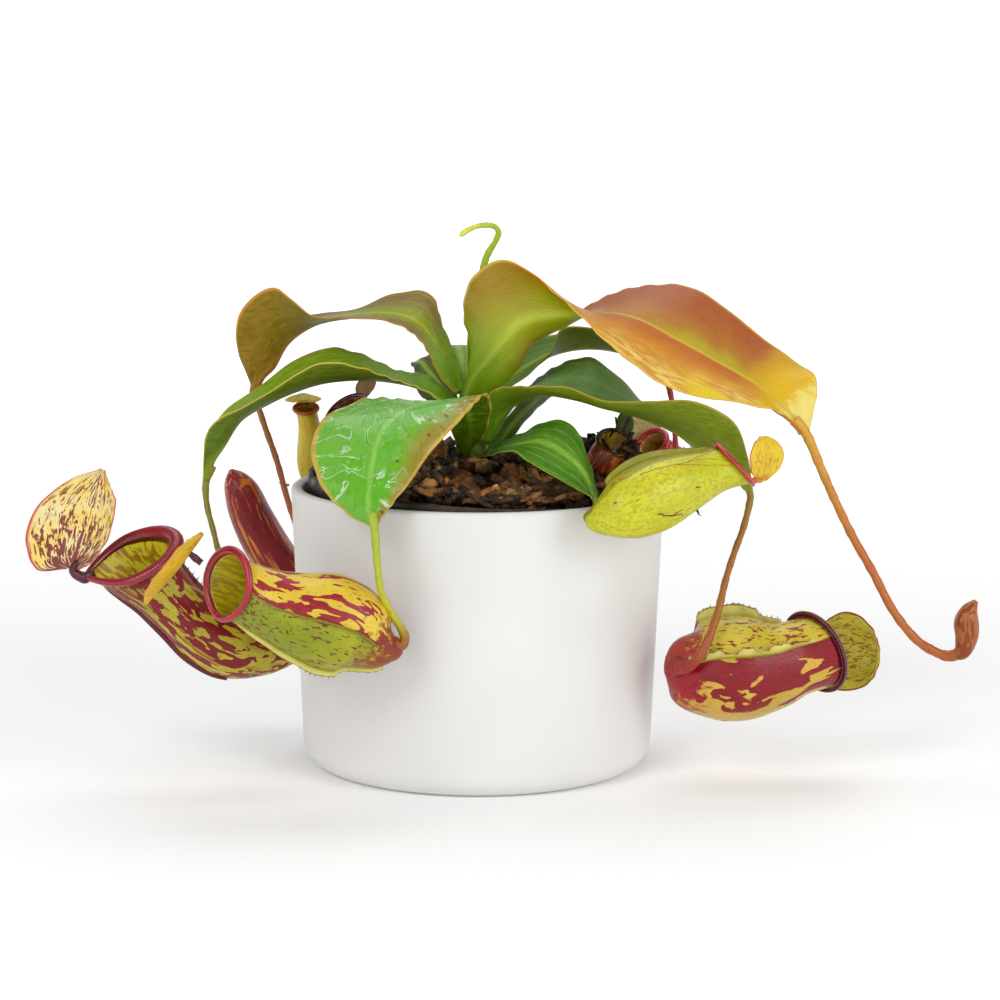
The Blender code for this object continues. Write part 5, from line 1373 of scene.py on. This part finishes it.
hinge_skin = tendril_skin("hinge_skin", dye(60, 16, 24), dye(84, 22, 34), dye(60, 16, 24))
green_hinge_skin = tendril_skin("green_hinge_skin", dye(190, 150, 50), dye(200, 130, 50), dye(190, 80, 50))
HINGES = {
    "hinge_far_left": ([(-133, -49.5, 79), (-134.6, -49.4, 75.4), (-131, -50.4, 73.4), (-127.5, -50.8, 74.8)],
                       [1.0, 1.7, 1.9, 1.6]),
    "hinge_front_left": ([(-92, -84, 88), (-90, -83, 86), (-88, -83, 84.4)], [0.8, 1.2, 1.2]),
    "hinge_right": ([(119.5, -9.6, 41.6), (115, -11.6, 41.6), (111, -13.8, 41.4)], [1.0, 1.2, 1.2]),
    "hinge_over_rim": ([(95.7, -45.9, 107), (94, -47.6, 107.2), (91.6, -49.4, 107.6)], [0.8, 0.9, 1.0]),
    "hinge_back_right": ([(62.6, 59.5, 107.4), (62.8, 57.5, 107.6), (63, 55.6, 107.8)], [0.7, 0.8, 0.8]),
    "hinge_back_left": ([(-63.2, 46.6, 122.6), (-63, 46.4, 121.2), (-63, 45.6, 120)], [0.6, 0.8, 0.8]),
    "hinge_soil_left": ([(-42, 28.6, 125), (-42.6, 27.4, 124.2), (-43.4, 25.6, 123.6)], [0.6, 0.8, 0.8]),
    "hinge_old": ([(51, 12.7, 114), (50.6, 11.4, 114.6), (50.2, 9.8, 115)], [0.5, 0.6, 0.6]),
}
for name, (route, radii) in HINGES.items():
    points, faces, marks = vine(route, radii, 12, 6)
    hinge = make_piece(name, points, faces, [green_hinge_skin if name == "hinge_over_rim" else hinge_skin], marks)


# ---------------------------------------------------------------------------------------------
# Closed traps. One at the back left is still shut, dark red; a small bud
# hangs from the longest tendril. Both are swollen but not yet open.
# ---------------------------------------------------------------------------------------------
CLOSED = {
    "closed_left": ([
        (-65, 50.5, 46, 1.6, 1.6), (-66.5, 49, 50, 5, 5), (-71, 47, 57.5, 7.8, 7.8),
        (-78, 44, 69, 8.2, 8.2), (-83, 42, 79.5, 7.6, 7.6), (-86, 40, 88, 6.6, 6.8),
        (-88.5, 39, 93.5, 4.4, 4.6), (-90, 38, 97, 0.9, 1)],
        dict(ground=(dye(206, 128, 60), dye(176, 84, 44)), blotch=(dye(140, 16, 24), dye(104, 8, 18)), cover=0.74,
             stretch=(0.5, 0.035), roughness=0.24, flecks=0.2)),
    "bud_right": ([
        (164.8, -24, 43.2, 1.9, 1.9), (167.4, -24, 45, 3, 3), (168.6, -24, 50, 4, 4),
        (168.4, -24, 55, 4.3, 4.6), (169.4, -24, 59, 3, 3.4), (171.5, -24, 62.4, 0.8, 0.8)],
        dict(ground=(dye(178, 112, 66), dye(160, 92, 50)), blotch=(dye(146, 74, 42), dye(130, 60, 36)), cover=0.4,
             stretch=(0.5, 0.2), flecks=0.2)),
}
for name, (stations, look) in CLOSED.items():
    trap = Trap(stations, (1, 0, 0))
    points, faces, marks = trap.skin(closed=True)
    pod = make_piece("trap_" + name, points, faces, [trap_finish("trap_" + name + "_skin", **look)], marks)
    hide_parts("pitcher_" + name)


# ---------------------------------------------------------------------------------------------
# Litter. A curl of bark lies in front of the stem and a scrap of dead leaf to its left, both dry and
# brown; they only rest on the mix.
# ---------------------------------------------------------------------------------------------
litter = Finish("dry_litter", 0.75)
where = litter.place()
creases_and_shade = litter.mottle(where, 260.0, 5.0, 0.7, 0.5)
patch = litter.mottle(where, 90.0, 3.0)
litter_colour = litter.blend(litter.step(patch, 0.4, 0.62), dye(190, 124, 76), dye(222, 174, 124))
# Painted shade: the creases are painted dark brown, as the shade that falls in them; the same noise raises the
# surface.
litter_colour = litter.blend(litter.step(creases_and_shade, 0.44, 0.6, 0.0, 0.92), litter_colour, dye(56, 28, 14))
litter.set(Base_Color=litter_colour, Roughness=0.7)
litter.relief(creases_and_shade, 0.0012, 0.9)
SCRAPS = {"bark_scrap_front": (9.0, -44.0, 15.0, 9.0, 20.0), "leaf_scrap_left": (-14.5, -36.0, 11.0, 7.0, -30.0)}
for node, (centre_x, centre_y, length, width, turn) in SCRAPS.items():
    bearing = Vector((math.cos(math.radians(turn)), math.sin(math.radians(turn)), 0))
    sideways = Vector((-bearing.y, bearing.x, 0))
    course = []
    for step, spread in zip((-0.5, -0.3, -0.1, 0.15, 0.35, 0.5), (0.4, 0.8, 1.0, 0.85, 0.6, 0.3)):
        middle = Vector((centre_x, centre_y, 0)) + bearing * (length * step)
        edges = []
        for way, rise in ((0, 4.6 + 0.8 * math.sin(step * 14)), (-1, 2.4 + math.sin(step * 23)), (1, 2.8)):
            spot = middle + sideways * (way * width * spread / 2)
            edges.append(on_soil(spot.x, spot.y, rise) / MM)
        course.append(edges)
    points, faces, marks = grow_blade(course, thick=1.2, rib=0.3, wave=0.9, stalk=1.0)
    scrap = make_piece(node + "_curl", points, faces, [litter], marks)
    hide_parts(node)


# ---------------------------------------------------------------------------------------------
# Stand. A plain white table whose edge curves up into a white backdrop all round; the paper glows, faintly by the pot
# and more further out, as painted light that keeps it white. Three soft lamps and a pale sky light the plant evenly,
# with a little more from the front left.
# ---------------------------------------------------------------------------------------------
paper = Finish("glowing_white_paper", 0.9)
paper_place = paper.node("SeparateXYZ", {"Vector": paper.place()}).outputs
off_centre = paper.calc("POWER", paper.plus(paper.calc("POWER", paper_place[0], 2.0),
                                            paper.calc("POWER", paper_place[1], 2.0)), 0.5)
# Painted light: the paper glows, faintly by the pot and more further out, so that the backdrop stays white.
paper.set(Base_Color=dye(252, 252, 252), Specular_IOR_Level=0.0, Emission_Color=(1, 1, 1, 1),
          Emission_Strength=paper.step(off_centre, 0.2, 1.3, 0.07, 0.5))
bowl = [(0.7, 0), (1.4, 0), (1.9, 0.06), (2.3, 0.3), (2.5, 0.8)]
spokes = 64
bearings = [2 * math.pi * k / spokes for k in range(spokes)]
table_points = [(0, 0, 0)] + [(reach * math.cos(bearing), reach * math.sin(bearing), rise)
                              for reach, rise in bowl for bearing in bearings]
table_faces = [(0, 1 + k, 1 + (k + 1) % spokes) for k in range(spokes)]
table_faces += [(1 + ring * spokes + k, 1 + (ring + 1) * spokes + k, 1 + (ring + 1) * spokes + (k + 1) % spokes,
                 1 + ring * spokes + (k + 1) % spokes) for ring in range(len(bowl) - 1) for k in range(spokes)]
table_mesh = bpy.data.meshes.new("table_sweep")
table_mesh.from_pydata(table_points, [], table_faces)
table_mesh.materials.append(paper.material)
for polygon in table_mesh.polygons:
    polygon.use_smooth = True
table = bpy.data.objects.new("table_sweep", table_mesh)
bpy.context.scene.collection.objects.link(table)

sky = bpy.data.worlds.new("studio_sky")
sky.use_nodes = True
sky_light = sky.node_tree.nodes["Background"].inputs
sky_light["Color"].default_value = (1.0, 1.0, 1.0, 1)
sky_light["Strength"].default_value = 0.33
bpy.context.scene.world = sky

PLANT_MIDDLE = Vector((0, 0, 0.08))
for name, place, size, power in (("lamp_front_left", (-0.8, -1.4, 1.15), 0.8, 11),
                                 ("lamp_front_right", (1.2, -1.1, 0.8), 0.8, 9),
                                 ("lamp_over", (0.0, 0.55, 1.5), 1.2, 9)):
    lamp = bpy.data.objects.new(name, bpy.data.lights.new(name, "AREA"))
    bpy.context.scene.collection.objects.link(lamp)
    lamp.data.size = size
    lamp.data.energy = power
    lamp.location = place
    lamp.rotation_euler = (PLANT_MIDDLE - Vector(place)).to_track_quat("-Z", "Y").to_euler()
